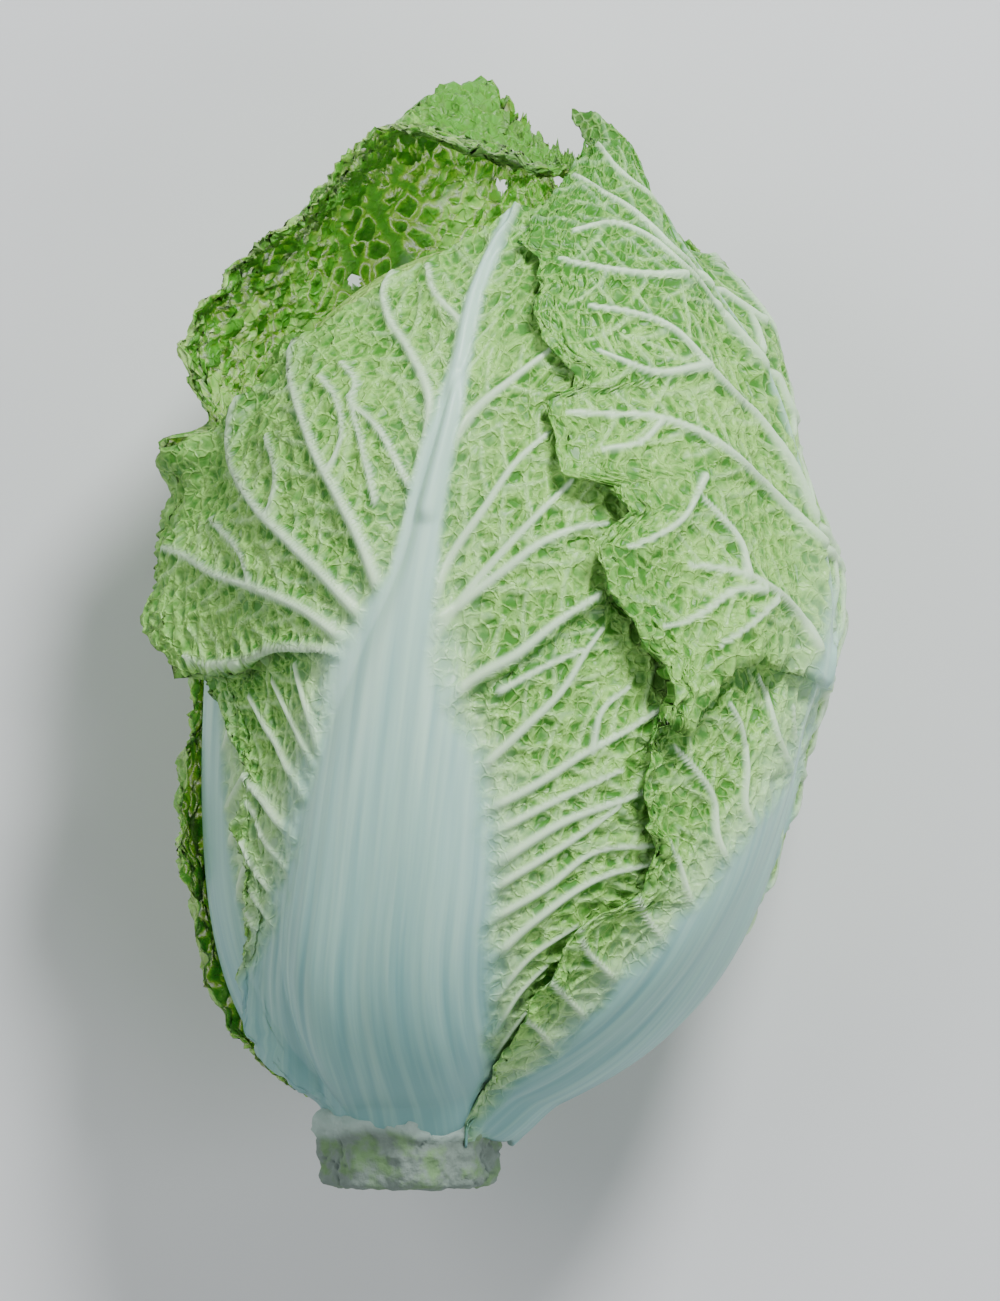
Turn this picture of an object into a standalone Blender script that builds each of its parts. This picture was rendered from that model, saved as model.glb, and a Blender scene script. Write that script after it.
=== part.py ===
"""A napa cabbage head lying on its side: cut stem at -Y, leaf tips at +Y, resting on its lowest leaf.

Every piece is laid over one egg-shaped core. A place on the core is an angle round the Y axis
(0 degrees is up, 90 is +X) and a distance along it, and a piece stands a height proud of the core there.
Leaves are stacked from the inside out, so that none passes through another.
"""

import bpy
import numpy as np

MM = 0.001

# Driving dimensions of the core, in millimetres.
CORE_BASE, CORE_WIDEST, CORE_TIP = -125.0, 5.0, 115.0
CORE_HALF_WIDTH, CORE_HALF_HEIGHT = 74.0, 66.0
CORE_REST_DEPTH = 62.5  # the core is pressed flat this far below its axis, where the head rests
CORE_REST_SOFTNESS = 3.0
BASE_BLUNTNESS, TIP_BLUNTNESS = 2.7, 2.0
BASE_SWAY, TIP_SWAY = -22.0, 16.0  # how far the two ends stand off the middle, to -X and +X
SWAY_POWER = 2.5
MIDDLE_X = 2.0
NEAR_POLE = 0.004  # the core's ends are pointed, so a place keeps this share away from them

# Leaves.
BASE_RING = 0.077  # where the stalks leave the stem, as a share of the way from base to tip
BLADE = 1.0
CORE_GAP = 0.8
LEAF_GAP, BASE_GAP = 2.0, 1.0
GAP_OPENS_BY = 0.2
COVER_FADE_ANGLE, COVER_FADE_LENGTH = 20.0, 24.0
RUFFLE_HEIGHT = 4.0
RUFFLE_BAND = 0.22
RUFFLES_ALONG, RUFFLES_ACROSS = 5.0, 2.2
STALK_CROWN, STALK_FLANK = 2.4, 1.2  # how broad the stalk's back is, and how hollow its sides are
THICKEST = 11.0
REST_PLANE = 66.0  # the outermost leaf is cut flat this far below the core's axis
REST_FILL, REST_FILL_FADE = 3.6, 2.5  # the leaf is thickened by up to this to reach the cut
REST_CUT_WIDTH, REST_CUT_LENGTH, REST_CUT_DEPTH = 200.0, 300.0, 20.0
CELLS_ACROSS, CELLS_ALONG = 22, 24

LOWEST_LEAF = "leaf_back"

# Heart and stem.
HEART_SEGMENTS, HEART_RINGS = 44, 26
HEART_STEP = 3.5
HEART_LEAVES, HEART_TWIST, STEP_START = 5, 1.5, 0.85  # a step rises over the last part of each leaf
HEART_TIP_DROP, HEART_DROP_FROM = 15.0, 0.7
STEM_SEGMENTS, STEM_RINGS = 30, 14
STEM_X, STEM_END, STEM_COLLAR, STEM_NECK_TOP = -23.0, -145.0, -131.4, -126.0
SCAR_COUNT, SCAR_DEPTH, SCAR_TURN = 7, 0.06, 1.3
SCARS_FROM_RADIUS, SCARS_FADE = 15, 5

# The stem's section: a share of the way from cut face to neck, with the radius and the place along Y.
STEM_RADIUS = [(0, 0), (0.2, 17), (0.3, 21), (0.42, 22), (0.55, 21), (0.66, 14), (0.85, 13.5), (1, 0)]
STEM_PLACE = [
    (0, STEM_END), (0.22, STEM_END), (0.3, STEM_END + 1), (0.55, STEM_COLLAR), (0.66, STEM_COLLAR + 1),
    (0.88, STEM_NECK_TOP), (1, STEM_NECK_TOP),
]

# Each leaf, from the innermost out. Lists run from the base: (distance along Y, value).
# midrib, near and far are angles; near is the margin at the lower angle, far the other one.
# top is the end of the leaf at -1 (near margin), 0 (midrib) and 1 (far margin).
# stalk is the half width of the thick rib, and rib its thickness.
# lifts raise the blade off the head: (height, angle, angle reach, distance, distance reach).
LEAVES = {
    "leaf_left": dict(
        midrib=[(-125, -80), (-60, -84), (0, -82), (60, -76), (112, -70)],
        near=[(-125, -112), (-60, -132), (20, -138), (90, -130)],
        far=[(-125, -44), (-60, -40), (20, -30), (90, -30)],
        top=[(-1, 46), (-0.5, 66), (0, 72), (0.5, 64), (1, 48)],
        stalk=[(-125, 15), (-80, 19), (-30, 14), (20, 5), (90, 2)],
        rib=[(-125, 4.5), (-100, 6), (-50, 5), (0, 3), (90, 1.6)],
        lifts=[],
        color=(0.42, 0.55, 0.36),
    ),
    "leaf_under": dict(
        midrib=[(-125, 134), (-60, 128), (0, 124), (60, 124), (112, 130)],
        near=[(-125, 98), (-60, 82), (20, 74), (90, 80)],
        far=[(-125, 172), (-60, 154), (20, 152), (90, 160)],
        top=[(-1, 66), (-0.5, 90), (0, 98), (0.5, 90), (1, 62)],
        stalk=[(-125, 15), (-80, 19), (-30, 14), (20, 5), (90, 2)],
        rib=[(-125, 4.5), (-100, 5), (-50, 4), (0, 2.4), (90, 1.6)],
        lifts=[],
        color=(0.40, 0.56, 0.32),
    ),
    "leaf_back": dict(
        midrib=[(-125, -152), (-60, -154), (0, -152), (60, -148), (112, -146)],
        near=[(-125, -200), (-60, -216), (20, -220), (90, -208), (112, -196)],
        far=[
            (-125, -102), (-90, -88), (-40, -84), (-10, -92), (30, -93), (42, -84), (70, -83), (98, -80),
            (113, -76),
        ],
        top=[(-1, 84), (-0.6, 107), (-0.2, 112), (0.2, 113), (0.6, 113), (1, 113)],
        stalk=[(-125, 16), (-80, 22), (-30, 17), (20, 7), (90, 2.5)],
        rib=[(-125, 4.5), (-100, 7), (-50, 6.5), (0, 4), (60, 2.6), (100, 1.8)],
        lifts=[
            (16, -86, 84, 100, 60), (10, -88, 60, 108, 34), (9, -135, 60, 118, 26), (23, -88, 18, 40, 10),
            (8, -80, 30, 60, 18),
        ],
        color=(0.26, 0.42, 0.14),
    ),
    "leaf_front": dict(
        midrib=[(-125, -14), (-98, -21), (-60, -21), (-20, -19), (30, -14), (60, -11), (100, -4)],
        near=[
            (-125, -58), (-98, -70), (-76, -61), (-44, -58), (-25, -62), (-5, -80), (18, -89), (40, -84),
            (90, -70),
        ],
        far=[(-125, 24), (-98, 35), (-60, 47), (-20, 50), (20, 48), (90, 40)],
        top=[
            (-1, 34), (-0.9, 45), (-0.8, 57), (-0.6, 81), (-0.4, 94), (-0.2, 102), (0, 105.5), (0.3, 108),
            (0.6, 110), (1, 106),
        ],
        stalk=[
            (-125, 19), (-98, 27), (-80, 29), (-55, 25), (-30, 19), (-6, 12), (14, 6), (40, 4), (100, 1.6),
        ],
        rib=[(-125, 6), (-105, 8), (-60, 8), (-10, 6), (30, 4), (60, 3), (100, 1.8)],
        lifts=[(9, -88, 30, 14, 30), (3, -50, 30, 30, 45)],
        color=(0.55, 0.69, 0.42),
    ),
    "leaf_right": dict(
        midrib=[
            (-125, 70), (-98, 64), (-59, 59), (-31, 62), (-5, 68), (40, 70), (67, 66), (92, 58), (114, 50),
        ],
        near=[
            (-125, 26), (-108, 19), (-84, 20), (-60, 33), (-40, 26), (-24, 31), (-6, 20), (20, 15), (45, 7),
            (90, 5), (104, 4), (114, 20),
        ],
        far=[(-125, 110), (-98, 122), (-60, 128), (0, 128), (50, 126), (90, 118), (114, 90)],
        top=[(-1, 113), (-0.5, 114.2), (0, 114.6), (0.5, 108), (1, 78)],
        stalk=[(-125, 18), (-98, 25), (-70, 24), (-40, 17), (-10, 9), (20, 5), (60, 3.5), (110, 1.6)],
        rib=[(-125, 6), (-105, 8), (-60, 8), (-20, 6), (20, 4), (60, 3), (110, 1.8)],
        lifts=[(9, 94, 44, 4, 44), (5, 22, 26, 20, 34), (14, 60, 150, 118, 12)],
        color=(0.50, 0.66, 0.36),
    ),
}


def smooth(t):
    t = np.clip(t, 0, 1)
    return t * t * (3 - 2 * t)


def curve(points, x):
    """A smooth line through (x, value) points, level beyond its ends."""
    known, value = np.array(points, float).T
    slope = np.gradient(value, known)
    x = np.clip(x, known[0], known[-1])
    i = np.clip(np.searchsorted(known, x) - 1, 0, len(known) - 2)
    step = known[i + 1] - known[i]
    t = (x - known[i]) / step
    rise = value[i + 1] - value[i]
    bend = step * t * (1 - t) * (slope[i] * (1 - t) - slope[i + 1] * t)
    return value[i] + rise * t * t * (3 - 2 * t) + bend


def along(s):
    """Distance along Y at a share s of the way round the core's side, from base to tip."""
    return CORE_BASE + (CORE_TIP - CORE_BASE) * (1 - np.cos(np.pi * s)) / 2


def share(y):
    t = np.clip((y - CORE_BASE) / (CORE_TIP - CORE_BASE), 0, 1)
    return np.arccos(1 - 2 * t) / np.pi


def core(s, angle):
    y = along(s)
    towards_base = y < CORE_WIDEST
    d = np.abs(y - CORE_WIDEST) / np.where(towards_base, CORE_WIDEST - CORE_BASE, CORE_TIP - CORE_WIDEST)
    bluntness = np.where(towards_base, BASE_BLUNTNESS, TIP_BLUNTNESS)
    swell = np.sqrt(np.maximum(1 - d**bluntness, 0))
    sway = np.where(towards_base, BASE_SWAY, TIP_SWAY) * d**SWAY_POWER
    x = MIDDLE_X + sway + CORE_HALF_WIDTH * swell * np.sin(angle)
    above_rest = CORE_HALF_HEIGHT * swell * np.cos(angle) + CORE_REST_DEPTH
    z = (above_rest + np.hypot(above_rest, CORE_REST_SOFTNESS)) / 2 - CORE_REST_DEPTH
    return np.stack([x, y, z], axis=-1)


def stand_proud(s, angle, height):
    """Points a height off the core, straight out from it."""
    e = 1e-4
    s = np.clip(s, NEAR_POLE, 1 - NEAR_POLE)
    along_s = core(s + e, angle) - core(s - e, angle)
    along_angle = core(s, angle + e) - core(s, angle - e)
    normal = np.cross(along_angle, along_s)
    normal /= np.linalg.norm(normal, axis=-1, keepdims=True)
    return core(s, angle) + np.asarray(height)[..., None] * normal


def wrapped(degrees):
    return (degrees + 180) % 360 - 180


def spread(leaf, y, u):
    """The angle between midrib and margin, on the side that u is."""
    middle = curve(leaf["midrib"], y)
    return np.where(u < 0, middle - curve(leaf["near"], y), curve(leaf["far"], y) - middle)


def on_leaf(leaf, u, v):
    """(s, degrees) of a place on a leaf: u is -1 to 1 across, v is 0 to 1 from base to top."""
    s = BASE_RING + (share(curve(leaf["top"], u)) - BASE_RING) * v
    y = along(s)
    return s, curve(leaf["midrib"], y) + u * spread(leaf, y, u)


def leaf_place(leaf, s, degrees):
    """(u, v) on a leaf of a place on the core, which may lie past the leaf's margins."""
    y = along(s)
    turn = wrapped(degrees - curve(leaf["midrib"], y))
    u = turn / spread(leaf, y, turn)
    v = (s - BASE_RING) / (share(curve(leaf["top"], np.clip(u, -1, 1))) - BASE_RING)
    return u, v


def cover(leaf, s, degrees):
    """1 over a leaf, falling to 0 a little past its margins."""
    y = along(s)
    u, _ = leaf_place(leaf, s, degrees)
    past_side = (np.abs(u) - 1) * spread(leaf, y, u)
    past_top = y - curve(leaf["top"], np.clip(u, -1, 1))
    return (1 - smooth(past_side / COVER_FADE_ANGLE)) * (1 - smooth(past_top / COVER_FADE_LENGTH))


def thickness(leaf, s, degrees):
    y = along(s)
    quarter = np.pi / 2 + 0 * s
    side_to_side = core(s, quarter)[..., [0, 2]] - core(s, -quarter)[..., [0, 2]]
    swell = np.linalg.norm(side_to_side, axis=-1) / 2
    away = np.abs(wrapped(degrees - curve(leaf["midrib"], y))) * np.pi / 180 * swell
    across = np.clip(away / curve(leaf["stalk"], y), 0, 1)
    return BLADE + (curve(leaf["rib"], y) - BLADE) * (1 - across**STALK_CROWN) ** STALK_FLANK


def edge(u, v):
    """1 on a leaf's margin, falling to 0 a ruffle band inside it."""
    return smooth((np.maximum(np.abs(u), v) - 1 + RUFFLE_BAND) / RUFFLE_BAND)


def lift(leaf, s, degrees):
    y = along(s)
    total = np.zeros(np.shape(y + degrees))
    for height, angle, angle_reach, distance, reach in leaf["lifts"]:
        far = np.hypot(wrapped(degrees - angle) / angle_reach, (y - distance) / reach)
        total = total + height * (1 - smooth(far))
    return total


def leaf_bottom(name, s, degrees):
    """Height of a leaf's inner face, before its ruffle: it clears every leaf inside it."""
    height = CORE_GAP + 0 * s
    gap = BASE_GAP + (LEAF_GAP - BASE_GAP) * smooth((s - BASE_RING) / GAP_OPENS_BY)
    for inner, leaf in LEAVES.items():
        if inner == name:
            return height + lift(leaf, s, degrees)
        u, v = leaf_place(leaf, s, degrees)
        ruffle = RUFFLE_HEIGHT * edge(np.clip(u, -1, 1), np.clip(v, 0, 1)) * smooth(v * 3)
        proud = thickness(leaf, s, degrees) + lift(leaf, s, degrees) + 0.5 * ruffle + gap
        height = height + cover(leaf, s, degrees) * proud
    return height


def ruffle(name, u, v):
    """The waves along a leaf's margin: always outwards, so they meet nothing inside."""
    wave = 0.5 + 0.5 * np.sin(2 * np.pi * (RUFFLES_ALONG * v + RUFFLES_ACROSS * u) + len(name))
    return 0.5 * RUFFLE_HEIGHT * edge(u, v) * smooth(v * 3) * wave


def material(name, color, roughness):
    made = bpy.data.materials.new(name)
    made.use_nodes = True
    shader = made.node_tree.nodes["Principled BSDF"]
    shader.inputs["Base Color"].default_value = (*color, 1)
    shader.inputs["Roughness"].default_value = roughness
    return made


def finish(obj, name, color, collection, holder):
    obj.name = obj.data.name = name
    obj.data.materials.append(material(name, color, 0.5))
    obj.data.shade_smooth()
    obj.parent = holder
    for other in obj.users_collection:
        other.objects.unlink(obj)
    collection.objects.link(obj)


def move_vertices(mesh, points):
    mesh.vertices.foreach_set("co", (points * MM).astype(np.float32).ravel())
    mesh.update()


def vertex_array(mesh):
    points = np.empty(len(mesh.vertices) * 3, np.float32)
    mesh.vertices.foreach_get("co", points)
    return points.reshape(-1, 3).astype(float)


def filled_to_rest(thick, inner_z):
    """The leaf's thickness, raised where its inner face is close above the rest spot."""
    short_by = inner_z + REST_PLANE
    near = 1 - smooth((short_by - REST_FILL) / REST_FILL_FADE)
    return np.maximum(thick, near * (REST_FILL + 1))


def rest_cutter(holder):
    """A slab under the head, whose top is the surface it rests on."""
    bpy.ops.mesh.primitive_cube_add(size=1)
    slab = bpy.context.object
    slab.name = "rest_cutter"
    slab.scale = (REST_CUT_WIDTH * MM, REST_CUT_LENGTH * MM, REST_CUT_DEPTH * MM)
    slab.location = (0, 0, -(REST_PLANE + REST_CUT_DEPTH / 2) * MM)
    slab.display_type = "WIRE"
    slab.hide_render = True
    slab.parent = holder
    cutters = bpy.data.collections.new("cutters")
    bpy.context.scene.collection.children.link(cutters)
    for other in slab.users_collection:
        other.objects.unlink(slab)
    cutters.objects.link(slab)
    return slab


def add_leaf(name, leaf, collection, holder):
    """A grid laid over the head for the inner face, thickened outwards into stalk and blade."""
    bpy.ops.mesh.primitive_grid_add(x_subdivisions=CELLS_ACROSS, y_subdivisions=CELLS_ALONG, size=2)
    obj = bpy.context.object
    flat = vertex_array(obj.data)
    u, v = flat[:, 0], (flat[:, 1] + 1) / 2
    s, degrees = on_leaf(leaf, u, v)
    height = leaf_bottom(name, s, degrees) + ruffle(name, u, v)
    move_vertices(obj.data, stand_proud(s, np.radians(degrees), height))
    group = obj.vertex_groups.new(name="thickness")
    thick_there = thickness(leaf, s, degrees)
    if name == LOWEST_LEAF:
        thick_there = filled_to_rest(thick_there, vertex_array(obj.data)[:, 2] / MM)
    for index, thick in enumerate(thick_there):
        group.add([index], thick / THICKEST, "REPLACE")
    obj.modifiers.new("triangles", "TRIANGULATE").quad_method = "FIXED"
    shell = obj.modifiers.new("thickness", "SOLIDIFY")
    shell.thickness = THICKEST * MM
    shell.offset = 1
    shell.vertex_group = group.name
    if name == LOWEST_LEAF:
        cut = obj.modifiers.new("rest spot", "BOOLEAN")
        cut.operation = "DIFFERENCE"
        cut.object = rest_cutter(holder)
    finish(obj, name, leaf["color"], collection, holder)
    return obj


def sphere_places(obj):
    """(share, angle) of each vertex of a unit sphere whose poles lie on Z."""
    x, y, z = vertex_array(obj.data).T
    return np.arccos(np.clip(-z, -1, 1)) / np.pi, np.arctan2(x, -y)


def add_heart(collection, holder):
    """The packed inner leaves: the core, with each leaf's edge standing a step above the next."""
    bpy.ops.mesh.primitive_uv_sphere_add(segments=HEART_SEGMENTS, ring_count=HEART_RINGS, radius=1)
    obj = bpy.context.object
    s, angle = sphere_places(obj)
    turns = (angle / (2 * np.pi) * HEART_LEAVES + HEART_TWIST * s) % 1
    fall = smooth(turns / STEP_START) * (1 - smooth((turns - STEP_START) / (1 - STEP_START)))
    height = -HEART_STEP * fall * np.sqrt(np.sin(np.pi * s))
    height = height - HEART_TIP_DROP * smooth((s - HEART_DROP_FROM) / (1 - HEART_DROP_FROM))
    move_vertices(obj.data, stand_proud(s, angle, height))
    finish(obj, "heart", (0.62, 0.72, 0.42), collection, holder)
    return obj


def add_stem(collection, holder):
    """The cut butt: a neck between the stalks, a collar of leaf scars and a cut face."""
    bpy.ops.mesh.primitive_uv_sphere_add(segments=STEM_SEGMENTS, ring_count=STEM_RINGS, radius=1)
    obj = bpy.context.object
    s, angle = sphere_places(obj)
    radius, y = curve(STEM_RADIUS, s), curve(STEM_PLACE, s)
    scars = np.cos(SCAR_COUNT * angle + SCAR_TURN) * smooth((radius - SCARS_FROM_RADIUS) / SCARS_FADE)
    radius = radius * (1 + SCAR_DEPTH * scars)
    points = np.stack([STEM_X + radius * np.sin(angle), y, radius * np.cos(angle)], axis=-1)
    move_vertices(obj.data, points)
    finish(obj, "stem", (0.30, 0.36, 0.32), collection, holder)
    return obj


def centre_on_ground(holder, parts):
    """Moves everything so that the origin is under the middle of the head, at the rest spot."""
    bpy.context.view_layer.update()
    graph = bpy.context.evaluated_depsgraph_get()
    corners = []
    for obj in parts:
        mesh = obj.evaluated_get(graph).to_mesh()
        points = vertex_array(mesh)
        corners += [points.min(axis=0), points.max(axis=0)]
    low, high = np.min(corners, axis=0), np.max(corners, axis=0)
    holder.location = (-(low[0] + high[0]) / 2, -(low[1] + high[1]) / 2, REST_PLANE * MM)


def main():
    for obj in list(bpy.data.objects):
        bpy.data.objects.remove(obj, do_unlink=True)
    collection = bpy.data.collections.new("napa_cabbage")
    bpy.context.scene.collection.children.link(collection)
    holder = bpy.data.objects.new("napa_cabbage_origin", None)
    collection.objects.link(holder)
    parts = [add_heart(collection, holder), add_stem(collection, holder)]
    parts += [add_leaf(name, leaf, collection, holder) for name, leaf in LEAVES.items()]
    centre_on_ground(holder, parts)


main()
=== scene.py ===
"""Dresses a napa cabbage head: waved wrapper leaves with veins, a packed heart and a stem.

Every piece is laid over the same egg-shaped core as the solids. A place on the core is an angle round
the Y axis (0 degrees is up, 90 is +X) and a share of the way from base to tip.
"""

import bpy
import numpy as np
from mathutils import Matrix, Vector
from mathutils.kdtree import KDTree


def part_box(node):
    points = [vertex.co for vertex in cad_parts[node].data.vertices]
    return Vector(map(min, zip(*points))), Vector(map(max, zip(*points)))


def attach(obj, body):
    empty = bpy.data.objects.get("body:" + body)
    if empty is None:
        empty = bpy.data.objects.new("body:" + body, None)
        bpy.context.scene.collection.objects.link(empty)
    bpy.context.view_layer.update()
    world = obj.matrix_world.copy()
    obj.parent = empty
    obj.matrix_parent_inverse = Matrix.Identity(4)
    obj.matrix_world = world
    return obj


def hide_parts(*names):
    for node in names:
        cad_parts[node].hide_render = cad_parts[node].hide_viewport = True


bl_info = {
    "name": "Napa cabbage",
    "version": (1, 0, 0),
    "blender": (4, 5, 0),
    "location": "View3D > Sidebar > Cabbage",
    "description": "Builds the leaves, heart and stem of a napa cabbage head",
    "category": "Object",
}

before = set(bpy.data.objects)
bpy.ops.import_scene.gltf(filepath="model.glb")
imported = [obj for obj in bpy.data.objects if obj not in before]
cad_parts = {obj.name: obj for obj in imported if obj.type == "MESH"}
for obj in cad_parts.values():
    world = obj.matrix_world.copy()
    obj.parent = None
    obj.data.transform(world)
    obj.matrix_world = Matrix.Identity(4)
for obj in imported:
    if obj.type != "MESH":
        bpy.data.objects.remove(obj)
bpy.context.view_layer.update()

MM = 0.001

# The core, in millimetres, as in the solids. LEAF_RUN is roughly how far a leaf runs over it.
CORE_BASE, CORE_WIDEST, CORE_TIP = -125.0, 5.0, 115.0
CORE_HALF_WIDTH, CORE_HALF_HEIGHT = 74.0, 66.0
CORE_REST_DEPTH, CORE_REST_SOFTNESS = 62.5, 3.0
BASE_BLUNTNESS, TIP_BLUNTNESS = 2.7, 2.0
BASE_SWAY, TIP_SWAY, SWAY_POWER, MIDDLE_X = -22.0, 16.0, 2.5, 2.0
REST_PLANE = 66.0
LEAF_RUN = 300.0

# How leaves are stacked, in millimetres and degrees.
BASE_RING = 0.077
BLADE = 1.0
CORE_GAP, LEAF_GAP, BASE_GAP, GAP_OPENS_BY = 0.8, 2.0, 1.0, 0.2
COVER_FADE_ANGLE, COVER_FADE_LENGTH = 20.0, 24.0
RUFFLE_HEIGHT, RUFFLE_BAND = 4.0, 0.22
RUFFLES_ALONG, RUFFLES_ACROSS = 5.0, 2.2

# The heart: its leaf steps and where its top drops, and the grid of the solid heart.
HEART_STEP, HEART_TIP_DROP, HEART_DROP_FROM = 3.5, 15.0, 0.7
CAD_HEART_SEGMENTS, CAD_HEART_RINGS = 44, 26

# The photograph's frame in its own pixels, the real size of a pixel, and one pixel's place over the core.
PHOTO_WIDTH, PHOTO_HEIGHT = 1000, 1301
PHOTO_MIDDLE = (500, 628)
MIDDLE_ON_CORE = (0.4, -1.1)
MM_PER_PIXEL = 0.258

# Each leaf, from the innermost out. Lists run from the base: (distance along Y, value). midrib, near and
# far are angles, stalk is half its width and rib its thickness. top is (share across, distance along Y).
# lifts are (height, angle, angle it reaches, distance along Y, distance it reaches).
LEAVES = {
    "leaf_left": dict(
        midrib=[(-125, -80), (-60, -84), (0, -82), (60, -76), (112, -70)],
        near=[(-125, -112), (-60, -132), (20, -138), (90, -130)],
        far=[(-125, -44), (-60, -40), (20, -30), (90, -30)],
        top=[(-1, 46), (-0.5, 66), (0, 72), (0.5, 64), (1, 48)],
        stalk=[(-125, 15), (-80, 19), (-30, 14), (20, 5), (90, 2)],
        rib=[(-125, 4.5), (-100, 6), (-50, 5), (0, 3), (90, 1.6)],
        lifts=[],
    ),
    "leaf_under": dict(
        midrib=[(-125, 134), (-60, 128), (0, 124), (60, 124), (112, 130)],
        near=[(-125, 98), (-60, 82), (20, 74), (90, 80)],
        far=[(-125, 172), (-60, 154), (20, 152), (90, 160)],
        top=[(-1, 66), (-0.5, 90), (0, 98), (0.5, 90), (1, 62)],
        stalk=[(-125, 15), (-80, 19), (-30, 14), (20, 5), (90, 2)],
        rib=[(-125, 4.5), (-100, 5), (-50, 4), (0, 2.4), (90, 1.6)],
        lifts=[],
    ),
    "leaf_back": dict(
        midrib=[(-125, -152), (-60, -154), (0, -152), (60, -148), (112, -146)],
        near=[(-125, -200), (-60, -216), (20, -220), (90, -208), (112, -196)],
        far=[
            (-125, -102), (-90, -88), (-40, -84), (-10, -92), (30, -93), (42, -84), (70, -83), (98, -80),
            (113, -76),
        ],
        top=[(-1, 84), (-0.6, 107), (-0.2, 112), (0.2, 113), (0.6, 113), (1, 113)],
        stalk=[(-125, 16), (-80, 22), (-30, 17), (20, 7), (90, 2.5)],
        rib=[(-125, 4.5), (-100, 7), (-50, 6.5), (0, 4), (60, 2.6), (100, 1.8)],
        lifts=[
            (16, -86, 84, 100, 60), (10, -88, 60, 108, 34), (9, -135, 60, 118, 26), (23, -88, 18, 40, 10),
            (8, -80, 30, 60, 18),
        ],
    ),
    "leaf_front": dict(
        midrib=[(-125, -14), (-98, -21), (-60, -21), (-20, -19), (30, -14), (60, -11), (100, -4)],
        near=[
            (-125, -58), (-98, -70), (-76, -61), (-44, -58), (-25, -62), (-5, -80), (18, -89), (40, -84),
            (90, -70),
        ],
        far=[(-125, 24), (-98, 35), (-60, 47), (-20, 50), (20, 48), (90, 40)],
        top=[
            (-1, 34), (-0.9, 45), (-0.8, 57), (-0.6, 81), (-0.4, 94), (-0.2, 102), (0, 105.5), (0.3, 108),
            (0.6, 110), (1, 106),
        ],
        stalk=[
            (-125, 19), (-98, 27), (-80, 29), (-55, 25), (-30, 19), (-6, 12), (14, 6), (40, 4),
            (100, 1.6),
        ],
        rib=[(-125, 6), (-105, 8), (-60, 8), (-10, 6), (30, 4), (60, 3), (100, 1.8)],
        lifts=[(9, -88, 30, 14, 30), (3, -50, 30, 30, 45)],
    ),
    "leaf_right": dict(
        midrib=[
            (-125, 70), (-98, 64), (-59, 59), (-31, 62), (-5, 68), (40, 70), (67, 66), (92, 58),
            (114, 50),
        ],
        near=[
            (-125, 26), (-108, 19), (-84, 20), (-60, 33), (-40, 26), (-24, 31), (-6, 20), (20, 15),
            (45, 7), (90, 5), (104, 4), (114, 20),
        ],
        far=[(-125, 110), (-98, 122), (-60, 128), (0, 128), (50, 126), (90, 118), (114, 90)],
        top=[(-1, 113), (-0.5, 114.2), (0, 114.6), (0.5, 108), (1, 78)],
        stalk=[(-125, 18), (-98, 25), (-70, 24), (-40, 17), (-10, 9), (20, 5), (60, 3.5), (110, 1.6)],
        rib=[(-125, 6), (-105, 8), (-60, 8), (-20, 6), (20, 4), (60, 3), (110, 1.8)],
        lifts=[(9, 94, 44, 4, 44), (5, 22, 26, 20, 34), (14, 60, 150, 118, 12)],
    ),
}

# How each leaf is dressed, where it differs from PLAIN_DRESS. Lines are in the photograph's pixels.
# cells is the grid across and along, dense crowds it towards the far side and the top, and coarse is the
# step of its outer and inner face. edge_tint and tip_deep are how far the margin and the tip take the deeper
# colours. lifts are as in LEAVES, ruled names the sides with veins by rule, and seen_inside says that the
# inner face is the one that looks up. tip_turn is the angle by which the tip is turned over, flare the height
# of its upper rim, frill the share of the scallops, wave and wavy the size and share of the small waves, tuck
# the share of a lift that the margin takes back, calm how far waves fade to the far side, and steep how steep
# a place is where the photograph no longer shows the stalk's edge. holes are (x, y, radius). folds are
# pleats where an upper lobe hangs over a lower one: (rise, overlap, [(x, y, share of the overlap)]). margin
# is the near margin, and stalk the stalk's left and right edges. veins run from the midrib out:
# (half width, points).
PLAIN_DRESS = dict(
    cells=(110, 200), dense=(0.0, 0.0), coarse=(1, 1), edge_tint=0.3, tip_deep=0.0, lifts=[], ruled=(-1, 1),
    seen_inside=False, tip_turn=0.0, flare=0.0, frill=1.0, wave=7.0, wavy=1.0, tuck=0.0, calm=0.0, steep=0.1,
    holes=[], folds=[], margin=None, stalk=None, veins=[],
)
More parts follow.
